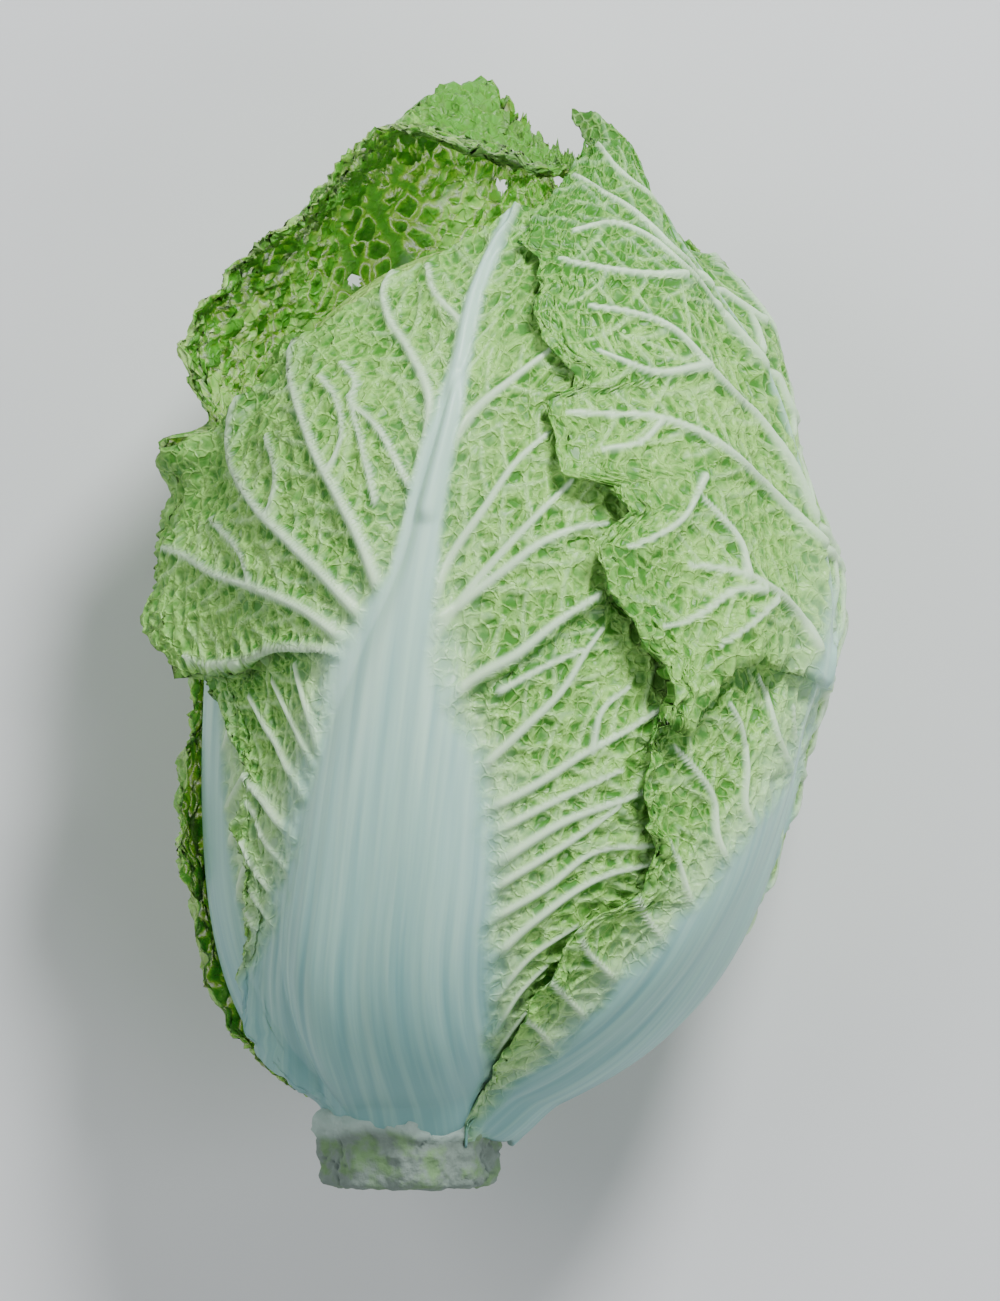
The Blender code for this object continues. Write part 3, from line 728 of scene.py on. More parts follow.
class LeafSheet:
    """One leaf on a fine grid: where its faces lie, and what lies on them."""

    def __init__(self, name):
        self.name = name
        self.leaf = LEAVES[name]
        self.dress = PLAIN_DRESS | DRESS[name]
        self.seed = 11 + 7 * list(LEAVES).index(name)
        n_across, n_along = self.dress["cells"]
        v, u = np.meshgrid(np.linspace(0, 1, n_along + 1), np.linspace(-1, 1, n_across + 1), indexing="ij")
        self.shape = u.shape
        toward_side, toward_top = self.dress["dense"]
        u = u + toward_side * (1 - u**2)
        v = v + toward_top * v * (1 - v)
        self.u, self.v = u, v
        scallop = 0
        for height, size, seed in SCALLOPS:
            scallop = scallop + height * noise(u * SCALLOP_GRID, v * SCALLOP_GRID, size, self.seed + seed)
        scallop = scallop * self.dress["frill"]
        gentle = np.sin(np.pi * share(curve(self.leaf["top"], u)))
        self.s, self.degrees = on_leaf(self.leaf, u, v, scallop * gentle * ramp(v, 0.8, 0.2))
        sideways = np.sign(u) * SIDE_SCALLOP * scallop * ramp(np.abs(u), 0.75, 0.25)
        self.degrees = self.degrees + sideways * (1 - 0.7 * v**8)
        self.tipped = ramp(v, 0.9, 0.07)
        self.turned = ramp(u, 0.2, 0.8) * self.tipped
        self.degrees = self.degrees + self.dress["tip_turn"] * self.turned
        self.measure()
        if self.dress["margin"]:
            self.follow_margin(scallop)
        outside = self.place(self.bottom + self.thick)
        self.up = grid_normals(outside)[..., 2]
        self.a = self.paced(outside, 1)
        self.b = self.paced(outside, 0)
        self.pleat_shadow = 0 * self.u
        self.pleat = self.fold()

    def measure(self):
        """Sets what follows from where the grid's places are."""
        self.y = along(self.s)
        self.a = np.radians(self.degrees) * CORE_HALF_WIDTH
        self.b = self.s * LEAF_RUN
        self.edge = edge(self.u, self.v, 0.3)
        tuck = self.dress["tuck"] * smooth(-self.u * 2) * self.edge * lift(self.leaf, self.s, self.degrees)
        own_lifts = lift(self.dress, self.s, self.degrees) - np.clip(tuck, 0, DEEPEST_TUCK)
        flare = self.dress["flare"] * ramp(self.u, 0.75, 0.25) * ramp(self.y, 46, 16)
        flare = flare * (1 - 0.9 * ramp(self.y, 72, 22))
        own_lifts = own_lifts + flare * (1 - self.tipped) * smooth(self.v * 4)
        self.bottom = leaf_bottom(self.name, self.s, self.degrees) + self.ruffle() + own_lifts
        tapered = 1 - ramp(self.v, 0.8, 0.2)
        self.thick = BLADE + (thickness(self.leaf, self.s, self.degrees) - BLADE) * tapered
        self.pleat = (0 * self.u, 0 * self.u)
        self.stalk_u = stalk_share(self.leaf, self.s, self.degrees)
        self.stalk_half = curve(self.leaf["stalk"], self.y)

    def paced(self, points, axis):
        """Distance over the surface, across from the middle column or along from the base."""
        steps = np.linalg.norm(np.diff(points, axis=axis), axis=-1)
        first = np.zeros_like(steps.take([0], axis=axis))
        run = np.concatenate([first, np.cumsum(steps, axis=axis)], axis=axis)
        if axis == 1:
            middle = np.argmin(np.abs(self.u[0]))
            run = run - run[:, middle : middle + 1]
        return run

    def nearest_vein(self, points, veins, margin=6.0):
        """vein_field for this leaf's grid."""
        return [part.reshape(self.shape) for part in vein_field(points.reshape(-1, 3), veins, margin)]

    def follow_margin(self, scallop):
        """Moves the near margin sideways on to its line in the photograph."""
        for _ in range(3):
            border = self.place(self.bottom + self.thick)[:, :1]
            wanted = across_at(self.dress["margin"], border[..., 1]) + MARGIN_SCALLOP * scallop[:, :1]
            radius = CORE_HALF_WIDTH * np.cos(np.radians(self.degrees[:, :1]))
            turn = np.degrees((wanted - border[..., 0]) / radius)
            reach = np.clip(-self.u, 0, 1) ** 1.5
            self.degrees = self.degrees + np.clip(turn, -MOST_TURN, MOST_TURN) * reach
            self.measure()

    def ruffle(self):
        """Waves along the margin, always outwards, with smaller ones on them."""
        turns = RUFFLES_ALONG * self.v + RUFFLES_ACROSS * self.u
        wave = 0.5 + 0.5 * np.sin(2 * np.pi * turns + len(self.name))
        broad = 0.5 * RUFFLE_HEIGHT * edge(self.u, self.v) * smooth(self.v * 3) * wave
        small = 0.5 + 0.5 * noise(self.a, self.b, self.dress["wave"], self.seed + 2)
        fine = self.dress["wavy"] * bpy.context.scene.cabbage.wave_height / MM * small
        calm = 1 - self.dress["calm"] * smooth(3 * self.u)
        return calm * (broad + fine * self.edge**2 * smooth(self.v * 4))

    def fold(self):
        """(shift along Y, height) of the pleats, where the leaf's upper part hangs over its lower part."""
        seen = self.place(self.bottom + self.thick)
        x, y = seen[..., 0], seen[..., 1]
        shift, height = np.zeros(self.shape), np.zeros(self.shape)
        for rise, overlap, line in self.dress["folds"]:
            spots = plan([point[:2] for point in line])
            deep = np.interp(x, spots[:, 0], [point[2] for point in line], right=0) * smooth(self.up / 0.15)
            above = y - (curve(spots, x) + PLEAT_WANDER * noise(x, y, PLEAT_WAVE, self.seed + 4))
            half = 0.55 * overlap * deep + PLEAT_ROUND
            shift -= overlap * deep * np.sin(np.pi * np.clip(above / half, -1, 1))
            height += rise * deep * smooth((above / half + 1) / 2) * (1 - smooth((above - half) / PLEAT_FADE))
            # Painted shadow under the overhanging lobe: darkest at its lip, fading below it over PLEAT_SHADE.
            self.pleat_shadow += deep * smooth(1 - above) * np.exp(np.minimum(above, 0) / PLEAT_SHADE)
        return shift, height

    def place(self, height):
        """Points at a height over the core, moved by the pleats and, at the stalk's foot, to the stem."""
        shift, rise = self.pleat
        points = stand_proud(share(self.y + shift), np.radians(self.degrees), height + rise)
        points[..., 1] -= HEEL * (1 - smooth(self.v / 0.05)) * smooth((1.3 - np.abs(self.stalk_u)) / 0.6)
        return points

    def on_stalk(self, seen):
        """How far each place is stalk, and how far it is in the pale zone beside the stalk."""
        away = np.abs(self.stalk_u)
        by_rule = smooth((1.05 - away) / 0.25) * (1 - ramp(self.v, 0.7, 0.25))
        if not self.dress["stalk"]:
            return by_rule, smooth((1.8 - away) / 0.8) * (1 - ramp(self.v, 0.6, 0.3))
        left, right = self.dress["stalk"]
        x, y = seen[..., 0], seen[..., 1]
        wander = STALK_WANDER * noise(self.a, self.b, 7.0, self.seed + 9) * ramp(self.stalk_half, 4, 8)
        inside = np.minimum(x - across_at(left, y), across_at(right, y) - x) + wander
        by_photo = smooth(inside / (2.4 + 7.0 * ramp(self.stalk_half, 5, 7)) + 0.6)
        beside = smooth(1 + inside / PALE_ZONE) * ramp(self.up, 0.1, 0.2)
        steep = smooth((self.dress["steep"] - self.up) / 0.25)
        return by_photo + (by_rule - by_photo) * steep, beside

    def blisters(self, off):
        """(height, painted shade for the furrows between them, how far they are free of the head) for a leaf
        seen from inside.
        """
        small = smooth(cells(self.a, self.b, SMALL_BLISTER, 71) / 1.9)
        big = smooth(cells(self.a, self.b, BIG_BLISTER, 72) / 4.0)
        free = np.maximum(smooth(lift(self.leaf, self.s, self.degrees) / 6), ramp(self.v, 0.88, 0.05))
        border = np.clip(ramp(self.u, 0.3, 0.5) + ramp(self.v, 0.8, 0.2), 0, 1)
        height = off * (0.4 + border) * (small + 0.9 * big) * (0.2 + 0.8 * free)
        height = height * (2.4 * smooth(self.turned * 2) - 1)
        return height, 0.75 - 0.8 * small - 0.3 * big, free * border

    def holes(self, inside):
        """The quads that the leaf's small ragged holes leave out, or None."""
        if not self.dress["holes"]:
            return None
        middles = ((inside[:-1, :-1] + inside[1:, 1:]) / 2)[..., :2]
        facing_up = grid_normals(inside)[:-1, :-1, 2] < -0.05
        cut = np.zeros(facing_up.shape, bool)
        for x, y, radius in self.dress["holes"]:
            off_middle = middles - plan([(x, y)])[0]
            ragged = radius * MM_PER_PIXEL * (1 + 0.12 * noise(middles[..., 0], middles[..., 1], 1.2, 5))
            cut |= facing_up & (np.hypot(off_middle[..., 0], 0.8 * off_middle[..., 1]) < ragged)
        cut[[0, -1]] = False
        cut[:, [0, -1]] = False
        return cut


def ruled_veins(sheet):
    """Veins by rule, from the stalk to the margin, for the sides that the photograph doesn't show."""
    found = []
    for side in sheet.dress["ruled"]:
        for k in range(RULED_VEINS):
            start = 0.12 + 0.075 * k
            t = np.linspace(0, 1, 28)
            u = side * (0.08 + 0.92 * t)
            v = start + (0.12 + 0.20 * (1 - k / 11)) * t**0.75 + 0.012 * np.sin(6 * t + 2.3 * k)
            short_of_top = v < 0.92
            s, degrees = on_leaf(sheet.leaf, u[short_of_top], v[short_of_top])
            height = leaf_bottom(sheet.name, s, degrees) + thickness(sheet.leaf, s, degrees)
            found.append((stand_proud(s, np.radians(degrees), height), 1.5 - 0.08 * k, 0.4))
    return found


def rooted(line, stalk):
    """A drawn vein, taken further in where it starts at the stalk's side, so that it grows out of it."""
    first, second = np.array(line[:2], float)
    x, y = plan([first])[0]
    if stalk and across_at(stalk[0], y) - ROOT_REACH < x < across_at(stalk[1], y) + ROOT_REACH:
        return [tuple(first + (first - second) / np.linalg.norm(first - second) * ROOT_PIXELS)] + line
    return line


def drawn_veins(sheet, points, turned=1, taper=0.35):
    """Veins that the photograph shows, laid on one face of the leaf."""
    surface, normals = points.reshape(-1, 3), grid_normals(points).reshape(-1, 3)
    veins = []
    for half, line in sheet.dress["veins"]:
        line = from_above(rooted(line, sheet.dress["stalk"]), surface, normals, turned)
        veins.append((line, half, max(taper * half, THINNEST_VEIN)))
    return veins


def hole_walls(cut, outer, inner):
    """Faces that join a leaf's two faces round each hole. cut marks the quads that are left out."""
    walls = []
    for i, j in np.argwhere(cut):
        corners = [(i, j), (i, j + 1), (i + 1, j + 1), (i + 1, j)]
        for k, (di, dj) in enumerate([(-1, 0), (0, 1), (1, 0), (0, -1)]):
            if not cut[i + di, j + dj]:
                a, b = corners[k], corners[(k + 1) % 4]
                walls.append([int(outer[a]), int(outer[b]), int(inner[b]), int(inner[a])])
    return walls


def rim_faces(fine, plain):
    """Faces between two closed rims, the first of which has more points."""
    faces = []
    ratio = len(fine) // len(plain)
    for k in range(len(plain)):
        following = plain[(k + 1) % len(plain)]
        run = [fine[(ratio * k + j) % len(fine)] for j in range(ratio + 1)]
        faces += [[run[j + 1], run[j], plain[k]] for j in range(ratio - 1)]
        faces.append([run[ratio], run[ratio - 1], plain[k], following])
    return faces


def add_piece(name, points, faces, material, marks, flat=None):
    """A mesh object with its marks at the points and, for leaves, its flat map. Sizes are in metres."""
    mesh = bpy.data.meshes.new(name)
    mesh.from_pydata(points.reshape(-1, 3).tolist(), [], faces)
    mesh.validate()
    if flat is not None:
        corners = np.empty(len(mesh.loops), np.int32)
        mesh.loops.foreach_get("vertex_index", corners)
        layer = mesh.uv_layers.new(name="leaf_mm")
        layer.data.foreach_set("uv", flat.reshape(-1, 2).astype(np.float32)[corners].ravel())
    for key, value in marks.items():
        layer = mesh.attributes.new(key, "FLOAT", "POINT")
        layer.data.foreach_set("value", value.ravel().astype(np.float32))
    mesh.shade_smooth()
    mesh.materials.append(material)
    obj = bpy.data.objects.new(name, mesh)
    bpy.context.scene.collection.objects.link(obj)
    return obj


def add_leaf_shell(name, outer, inner, marks, uv, material, coarse, cut=None):
    """A closed shell between two grids of points, either of which may be coarser.

    marks holds a pair of grids for each mark, for the two faces. cut marks quads that holes leave out,
    where neither grid is coarser.
    """
    faces, points, flat, values, grids = [], [], [], {key: [] for key in marks}, []
    rims, count = [], 0
    for grid, step, turned, side in ((outer, coarse[0], False, 0), (inner, coarse[1], True, 1)):
        part = grid[::step, ::step]
        rows, columns = part.shape[:2]
        index = np.arange(rows * columns).reshape(rows, columns) + count
        quads = np.stack([index[:-1, :-1], index[:-1, 1:], index[1:, 1:], index[1:, :-1]], axis=-1)
        quads = quads.reshape(-1, 4) if cut is None else quads[~cut]
        faces += (quads[:, ::-1] if turned else quads).tolist()
        grids.append(index)
        points.append(part.reshape(-1, 3))
        flat.append(uv[::step, ::step].reshape(-1, 2))
        for key, pair in marks.items():
            values[key].append(pair[side][::step, ::step].ravel())
        rim = [index[0, :-1], index[:-1, -1], index[-1, :0:-1], index[:0:-1, 0]]
        rims.append(np.concatenate(rim).tolist())
        count += rows * columns
    faces += rim_faces(*rims)
    points, flat = np.concatenate(points), np.concatenate(flat)
    values = {key: np.concatenate(parts) for key, parts in values.items()}
    if cut is not None:
        faces += hole_walls(cut, *grids)
        kept = np.unique(np.concatenate([np.array(face) for face in faces]))
        place = np.zeros(len(points), int)
        place[kept] = np.arange(len(kept))
        faces = [place[face].tolist() for face in faces]
        points, flat = points[kept], flat[kept]
        values = {key: value[kept] for key, value in values.items()}
    return add_piece(name, points, faces, material, values, flat)


def srgb(text):
    """A linear colour from sRGB hex."""
    parts = [int(text[k : k + 2], 16) / 255 for k in (1, 3, 5)]
    return tuple(c / 12.92 if c <= 0.04045 else ((c + 0.055) / 1.055) ** 2.4 for c in parts) + (1.0,)


def add_node(tree, kind, inputs=None, output=0, **settings):
    """Adds a node and gives one of its outputs. An input is a value, or a socket to link."""
    made = tree.nodes.new("ShaderNode" + kind)
    for key, value in settings.items():
        setattr(made, key, value)
    for key, value in (inputs or {}).items():
        if isinstance(value, bpy.types.NodeSocket):
            tree.links.new(value, made.inputs[key])
        else:
            made.inputs[key].default_value = value
    return made.outputs[output] if made.outputs else None


def new_material(name):
    """An empty material and its node tree."""
    material = bpy.data.materials.new(name)
    material.use_nodes = True
    material.node_tree.nodes.clear()
    return material, material.node_tree


def heart_points(segments, rings):
    """The heart's surface: the core with low steps where leaves overlap."""
    s = np.linspace(0, 1, rings + 1)[:, None]
    angle = np.linspace(0, 2 * np.pi, segments + 1)[None, :] + np.pi
    s, angle = s + 0 * angle, angle + 0 * s
    turns = ((wrapped(np.degrees(angle)) / 360) * 5 + 1.5 * s) % 1
    step = smooth(turns / 0.85) * (1 - smooth((turns - 0.85) / 0.15))
    height = -HEART_STEP * step * np.sin(np.pi * s) ** 0.5
    height = height - HEART_TIP_DROP * smooth((s - HEART_DROP_FROM) / (1 - HEART_DROP_FROM))
    return stand_proud(s, angle, height)


def head_shift():
    """From the core's own coordinates to the frame's, in millimetres, measured on the heart."""
    points = heart_points(CAD_HEART_SEGMENTS, CAD_HEART_RINGS).reshape(-1, 3)
    low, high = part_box("heart")
    middle = (Vector(low) + Vector(high)) / 2 / MM
    own = (points.min(axis=0) + points.max(axis=0)) / 2
    return np.array([middle.x - own[0], middle.y - own[1], REST_PLANE])


def per_mm(size):
    """The texture scale that gives a pattern this size in millimetres."""
    return 1 / (size * MM)


def leaf_material(name, pale, deep, margin, vein, stalk_tip, stalk_base_shade, glow=0.1, net_tint=0.5):
    # Fresh leaf: thin, waxy and slightly see-through, so it glows a little and has a soft broad sheen.
    # The eye gets pale raised veins on a mottled green blade, with a fine net of smaller veins between them,
    # and a juicy white stalk with faint ribs that turns blue-grey towards the base. That blue-grey is painted
    # shade, as is the darker colour in the stalk's rib grooves and in the hollows of the blade's net.
    net_cell = bpy.context.scene.cabbage.net_cell
    material, tree = new_material(name)
    mark = {}
    for key in ("stalk", "vein", "pit_and_shade", "margin", "tipward", "rib"):
        mark[key] = add_node(tree, "Attribute", output="Fac", attribute_name=key)
    flat = add_node(tree, "UVMap", uv_map="leaf_mm")
    place = add_node(tree, "TexCoord", output="Object")
    blotch = add_node(tree, "TexNoise", {"Vector": place, "Scale": per_mm(BLOTCH), "Detail": 5.0})
    speck = add_node(tree, "TexNoise", {"Vector": place, "Scale": per_mm(SPECK), "Detail": 3.0})
    drift = add_node(tree, "TexNoise", {"Vector": place, "Scale": 1 / net_cell, "Detail": 2.0}, "Color")
    bent = add_node(tree, "VectorMath", {0: drift, 1: (net_cell,) * 3, 2: place}, operation="MULTIPLY_ADD")
    net = add_node(
        tree, "TexVoronoi", {"Vector": bent, "Scale": 1 / net_cell}, "Distance", feature="DISTANCE_TO_EDGE"
    )
    falling = {"Value": net, "From Min": 0.02, "From Max": 0.13, "To Min": 1.0, "To Max": 0.0}
    net_line = add_node(tree, "MapRange", falling)
    # Painted shade in the middle of each net cell, where the blade dips between the small veins.
    net_hollow_shade = add_node(tree, "MapRange", {"Value": net, "From Min": 0.1, "From Max": 0.4, "To Max": 0.3})

    # How deep green: the painted shade that the mark carries and the painted shade in the net's hollows, plus
    # the blade's own blotches and specks.
    low = add_node(tree, "Math", {0: mark["pit_and_shade"], 1: net_hollow_shade}, operation="ADD")
    mottle = add_node(tree, "Math", {0: blotch, 1: speck}, operation="ADD")
    depth = add_node(tree, "Math", {0: low, 1: mottle}, operation="ADD")
    depth = add_node(tree, "MapRange", {"Value": depth, "From Min": 0.8, "From Max": 1.65})
    faint_line = add_node(tree, "Math", {0: net_line, 1: net_tint}, operation="MULTIPLY")
    blade = pale
    for factor, over in ((mark["margin"], margin), (depth, deep), (faint_line, pale), (mark["vein"], vein)):
        blade = add_node(tree, "Mix", {"Factor": factor, 6: blade, 7: over}, 2, data_type="RGBA")
    streak_scale = (per_mm(STREAK_WIDTH), per_mm(STREAK_LENGTH), 1.0)
    stretched = add_node(tree, "Mapping", {"Vector": flat, "Scale": streak_scale})
    streak = add_node(tree, "TexNoise", {"Vector": stretched, "Scale": 1.0, "Detail": 3.0})
    streaky = add_node(tree, "MapRange", {"Value": streak, "To Min": -STREAK_DEPTH, "To Max": STREAK_DEPTH})
    up_stalk = add_node(tree, "Math", {0: mark["tipward"], 1: streaky}, operation="ADD")
    # Painted shade in the grooves between the stalk's ribs, painted light on their crests.
    up_stalk = add_node(tree, "Math", {0: mark["rib"], 1: RIB_SHADE, 2: up_stalk}, operation="MULTIPLY_ADD")
    stalk = add_node(tree, "Mix", {"Factor": up_stalk, 6: stalk_base_shade, 7: stalk_tip}, 2, data_type="RGBA")
    colour = add_node(tree, "Mix", {"Factor": mark["stalk"], 6: blade, 7: stalk}, 2, data_type="RGBA")
    smooth_parts = add_node(tree, "Math", {0: mark["stalk"], 1: mark["vein"]}, operation="MAXIMUM")
    rough_parts = add_node(tree, "Math", {0: 1.0, 1: smooth_parts}, operation="SUBTRACT")
    net_height = add_node(tree, "Math", {0: net_line, 1: rough_parts}, operation="MULTIPLY")
    fine = add_node(tree, "Math", {0: streak, 1: STREAK_HEIGHT, 2: net_height}, operation="MULTIPLY_ADD")
    bump = add_node(tree, "Bump", {"Height": fine, "Strength": 0.7, "Distance": 0.0005})
    look = {"Base Color": colour, "Normal": bump, "Roughness": 0.42, "IOR": 1.42}
    look |= {"Subsurface Weight": glow, "Subsurface Radius": LIGHT_REACH, "Subsurface Scale": 0.4}
    shader = add_node(tree, "BsdfPrincipled", look)
    add_node(tree, "OutputMaterial", {"Surface": shader})
    return material


def stem_material():
    # Cut stem: fibrous flesh that has dried since the cut, so it is matt and grey-green, with ragged leaf
    # scars, dark cracks between them and green patches of leaf base.
    own = bpy.context.scene.cabbage
    material, tree = new_material("napa_cut_stem")
    place = add_node(tree, "TexCoord", output="Object")
    crack = add_node(tree, "Attribute", output="Fac", attribute_name="crack")
    fresh = add_node(tree, "Attribute", output="Fac", attribute_name="fresh")
    patch = add_node(tree, "TexNoise", {"Vector": place, "Scale": per_mm(PATCH), "Detail": 6.0})
    patch = add_node(tree, "MapRange", {"Value": patch, "From Min": 0.48, "From Max": 0.62})
    grain = add_node(tree, "TexNoise", {"Vector": place, "Scale": per_mm(FIBRE), "Detail": 4.0})
    colour = own.stem_flesh
    for factor, over in ((patch, own.stem_patch), (crack, srgb(CRACK_GREY)), (fresh, srgb(FRESH_GREEN))):
        colour = add_node(tree, "Mix", {"Factor": factor, 6: colour, 7: over}, 2, data_type="RGBA")
    bump = add_node(tree, "Bump", {"Height": grain, "Strength": 0.7, "Distance": 0.0006})
    look = {"Base Color": colour, "Normal": bump, "Roughness": 0.75, "IOR": 1.4}
    add_node(tree, "OutputMaterial", {"Surface": add_node(tree, "BsdfPrincipled", look)})
    return material


def floor_material():
    # Matt painted board: an even pale surface with a faint mottle, so the head's soft shadow reads.
    material, tree = new_material("matt_painted_board")
    place = add_node(tree, "TexCoord", output="Object")
    mottle = add_node(tree, "TexNoise", {"Vector": place, "Scale": per_mm(MOTTLE), "Detail": 5.0})
    pair = {"Factor": mottle, 6: srgb(BOARD_GREY), 7: srgb(BOARD_PALE)}
    look = {"Base Color": add_node(tree, "Mix", pair, 2, data_type="RGBA"), "Roughness": 0.8}
    add_node(tree, "OutputMaterial", {"Surface": add_node(tree, "BsdfPrincipled", look)})
    return material


def make_leaf(name, material):
    """One wrapper leaf: its sheet with relief on both faces, and marks that colour it."""
    sheet = LeafSheet(name)
    own = sheet.dress
    outside, inside = sheet.place(sheet.bottom + sheet.thick), sheet.place(sheet.bottom)
    if own["seen_inside"]:
        drawn = drawn_veins(sheet, inside, turned=-1, taper=0.3)
        seen_veins = []
    else:
        drawn = seen_veins = drawn_veins(sheet, outside)
    large = ruled_veins(sheet) + seen_veins
    across, half = sheet.nearest_vein(outside, large)
    twigs = side_branches(large, outside.reshape(-1, 3), grid_normals(outside).reshape(-1, 3), sheet.seed)
    twig_across, twig_half = sheet.nearest_vein(outside, twigs, 4.0)
    away, twig_away = across * half, twig_across * twig_half
    on_stalk, beside = sheet.on_stalk(outside)
    off = 1 - on_stalk
    broad_stalk = smooth(sheet.stalk_half / 14)

    # Relief in millimetres: vein ridges, the net between them, hollows in its cells and the stalk's ribs.
    ridge = ridge_over(across, half) * off
    if seen_veins:
        midrib = ridge_over(*sheet.nearest_vein(outside, seen_veins[:1]))
        ridge = np.maximum(ridge, midrib * (1 - ramp(sheet.stalk_half, 7, 5)))
    twig = TWIG_HEIGHT * np.clip(1 - (twig_across / 1.2) ** 2, 0, 1) ** 1.2
    cell = cells(sheet.a, sheet.b, NET_CELL, sheet.seed)
    clear = ramp(away, 0.8 * half, 2.0)
    net = NET_HEIGHT * np.clip(1 - (cell / 0.9) ** 2, 0, 1) * clear
    pit_and_shade = smooth(np.minimum(cell / 2.4, twig_away / 2.0))
    valley = -ramp(away, half, 4.0) * off
    billow = BILLOW[0] * noise(sheet.a, sheet.b, BILLOW[1], sheet.seed + 30) * off
    crinkle = CRINKLE[0] * noise(sheet.a, sheet.b, CRINKLE[1], sheet.seed + 31) * off * clear
    ribs = np.cos(2 * np.pi * sheet.a / RIB_SPACING + 2.0 * noise(sheet.a, sheet.b * 0.2, 16, 3))
    ribs = 0.3 * ribs + 0.7 * noise(sheet.a, sheet.b * 0.05, 3.4, 4)
    relief = np.maximum(ridge, off * np.maximum(net, twig * clear)) + off * (valley - PIT_DEPTH * pit_and_shade * clear)
    relief = relief + billow + crinkle + on_stalk * RIB_HEIGHT * ribs * broad_stalk
    inner_relief = 0.6 * valley + billow

    # Marks, for the outer and inner face: how deep green each place is, mostly painted shade in the hollows
    # of the net, on the flanks beside the larger veins and under the pleats, and lighter along the small
    # veins; how far vein; and how far stalk.
    # Painted shade along the flanks beside the larger veins.
    vein_flank_shade = np.exp(-(((away - 1.3 * half) / 1.6) ** 2)) * (half > 0.7)
    line_pale = np.maximum(1.2 * net, 0.75 * smooth(1.6 - twig_across) * clear)
    shade = 0.55 * pit_and_shade + 0.85 * vein_flank_shade * clear - line_pale + 1.3 * sheet.pleat_shadow
    shade = np.clip(shade + own["tip_deep"] * ramp(sheet.y, 50, 50), 0, 1.4)
    vein_mark = np.maximum(smooth(1.5 - across), 0.25 * smooth(1.5 - twig_across))
    vein_mark = np.maximum(vein_mark, 0.6 * beside * broad_stalk) * off
    inner_vein, inner_shade = 0.7 * vein_mark, 0.5 * pit_and_shade
    inner_stalk = 0.8 * smooth((1 - np.abs(sheet.stalk_u)) / 0.3) * (1 - ramp(sheet.v, 0.5, 0.3))
    if own["seen_inside"]:
        inner_relief, furrow_shade, free = sheet.blisters(off)
        relief = relief + 0.9 * inner_relief
        # Outer face of the back leaf: painted shade in the furrows between the blisters where it stands free,
        # and darker on its turned-over part.
        shade = np.clip(0.5 * shade + (furrow_shade + 0.4 + 0.7 * sheet.turned) * free, 0, 1.5)
        tip = sheet.tipped
        # Inner face of the back leaf: painted shade in the furrows, the turned-over tip painted darker, and
        # painted light along the margin, which lies in shade.
        inner_shade = np.maximum(furrow_shade - 0.65, -0.6) + 1.4 * tip - 0.4 * sheet.edge * (1 - tip)
    outer = sheet.place(sheet.bottom + sheet.thick + relief)
    inner = sheet.place(sheet.bottom + inner_relief)
    if own["seen_inside"]:
        inner_vein = smooth(1.4 - sheet.nearest_vein(inner, drawn)[0]) * 0.8
    # Painted shade on the stalks, fading from the base towards the tip.
    tipward = np.clip((sheet.y - CORE_BASE) / STALK_SHADE_FADES_OVER, 0, 1)
    margin = np.maximum(sheet.edge * own["edge_tint"], 0.8 * own["tip_deep"] * ramp(sheet.y, 75, 30))
    marks = {
        "stalk": (on_stalk, inner_stalk),
        "vein": (vein_mark, inner_vein),
        "pit_and_shade": (shade, inner_shade),
        "margin": (margin, margin),
        "tipward": (tipward, tipward),
        "rib": (0.5 * ribs, 0 * ribs),
    }
    shift = head_shift()
    outer, inner = outer + shift, inner + shift
    outer[..., 2] = np.maximum(outer[..., 2], 0)
    inner[..., 2] = np.maximum(inner[..., 2], LOWEST_INNER)
    uv = np.stack([sheet.a, sheet.b], axis=-1) * MM
    cut = sheet.holes(inside)
    obj = add_leaf_shell("napa_" + name, outer * MM, inner * MM, marks, uv, material, own["coarse"], cut)
    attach(obj, "root")
    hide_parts(name)


def make_heart(material):
    """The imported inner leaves, each one's edge lying as a low step over the next."""
    points = heart_points(*HEART_GRID)
    rows, columns = points.shape[:2]
    s = np.linspace(0, 1, rows)[:, None] + np.zeros(columns)
    a = np.linspace(-np.pi, np.pi, columns)[None, :] * CORE_HALF_WIDTH + np.zeros((rows, 1))
    b = s * LEAF_RUN
    wrap = np.abs(a) / (np.pi * CORE_HALF_WIDTH)
    lumps = smooth(cells(a, b, HEART_LUMP, 31) / 2.2) * (1 - ramp(wrap, 0.9, 0.1))
    outward = core_normal(np.clip(s, 0.01, 0.99), a / CORE_HALF_WIDTH)
    points = points - outward * (HEART_LUMP_DEPTH * lumps * np.sin(np.pi * s) ** 0.5)[..., None]
    points = (points + head_shift()) * MM
    index = np.arange(rows * (columns - 1)).reshape(rows, columns - 1)
    beside = np.roll(index, -1, axis=1)
    faces = np.stack([index[:-1], beside[:-1], beside[1:], index[1:]], axis=-1).reshape(-1, 4)
    ends = [index[0, ::-1].tolist(), index[-1].tolist()]
    # Marks of the heart: the deep-green mark is painted shade in the dents of its lumps, and the vein mark
    # makes the ridges between them paler.
    marks = dict.fromkeys(("stalk", "vein", "pit_and_shade", "margin", "tipward", "rib"), 0 * s)
    marks |= {"vein": 0.4 * (1 - lumps), "pit_and_shade": lumps, "tipward": s}
    marks = {key: value[:, :-1] for key, value in marks.items()}
    flat = np.stack([a, b], axis=-1)[:, :-1] * MM
    obj = add_piece("napa_heart", points[:, :-1], faces.tolist() + ends, material, marks, flat)
    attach(obj, "root")
    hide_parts("heart")


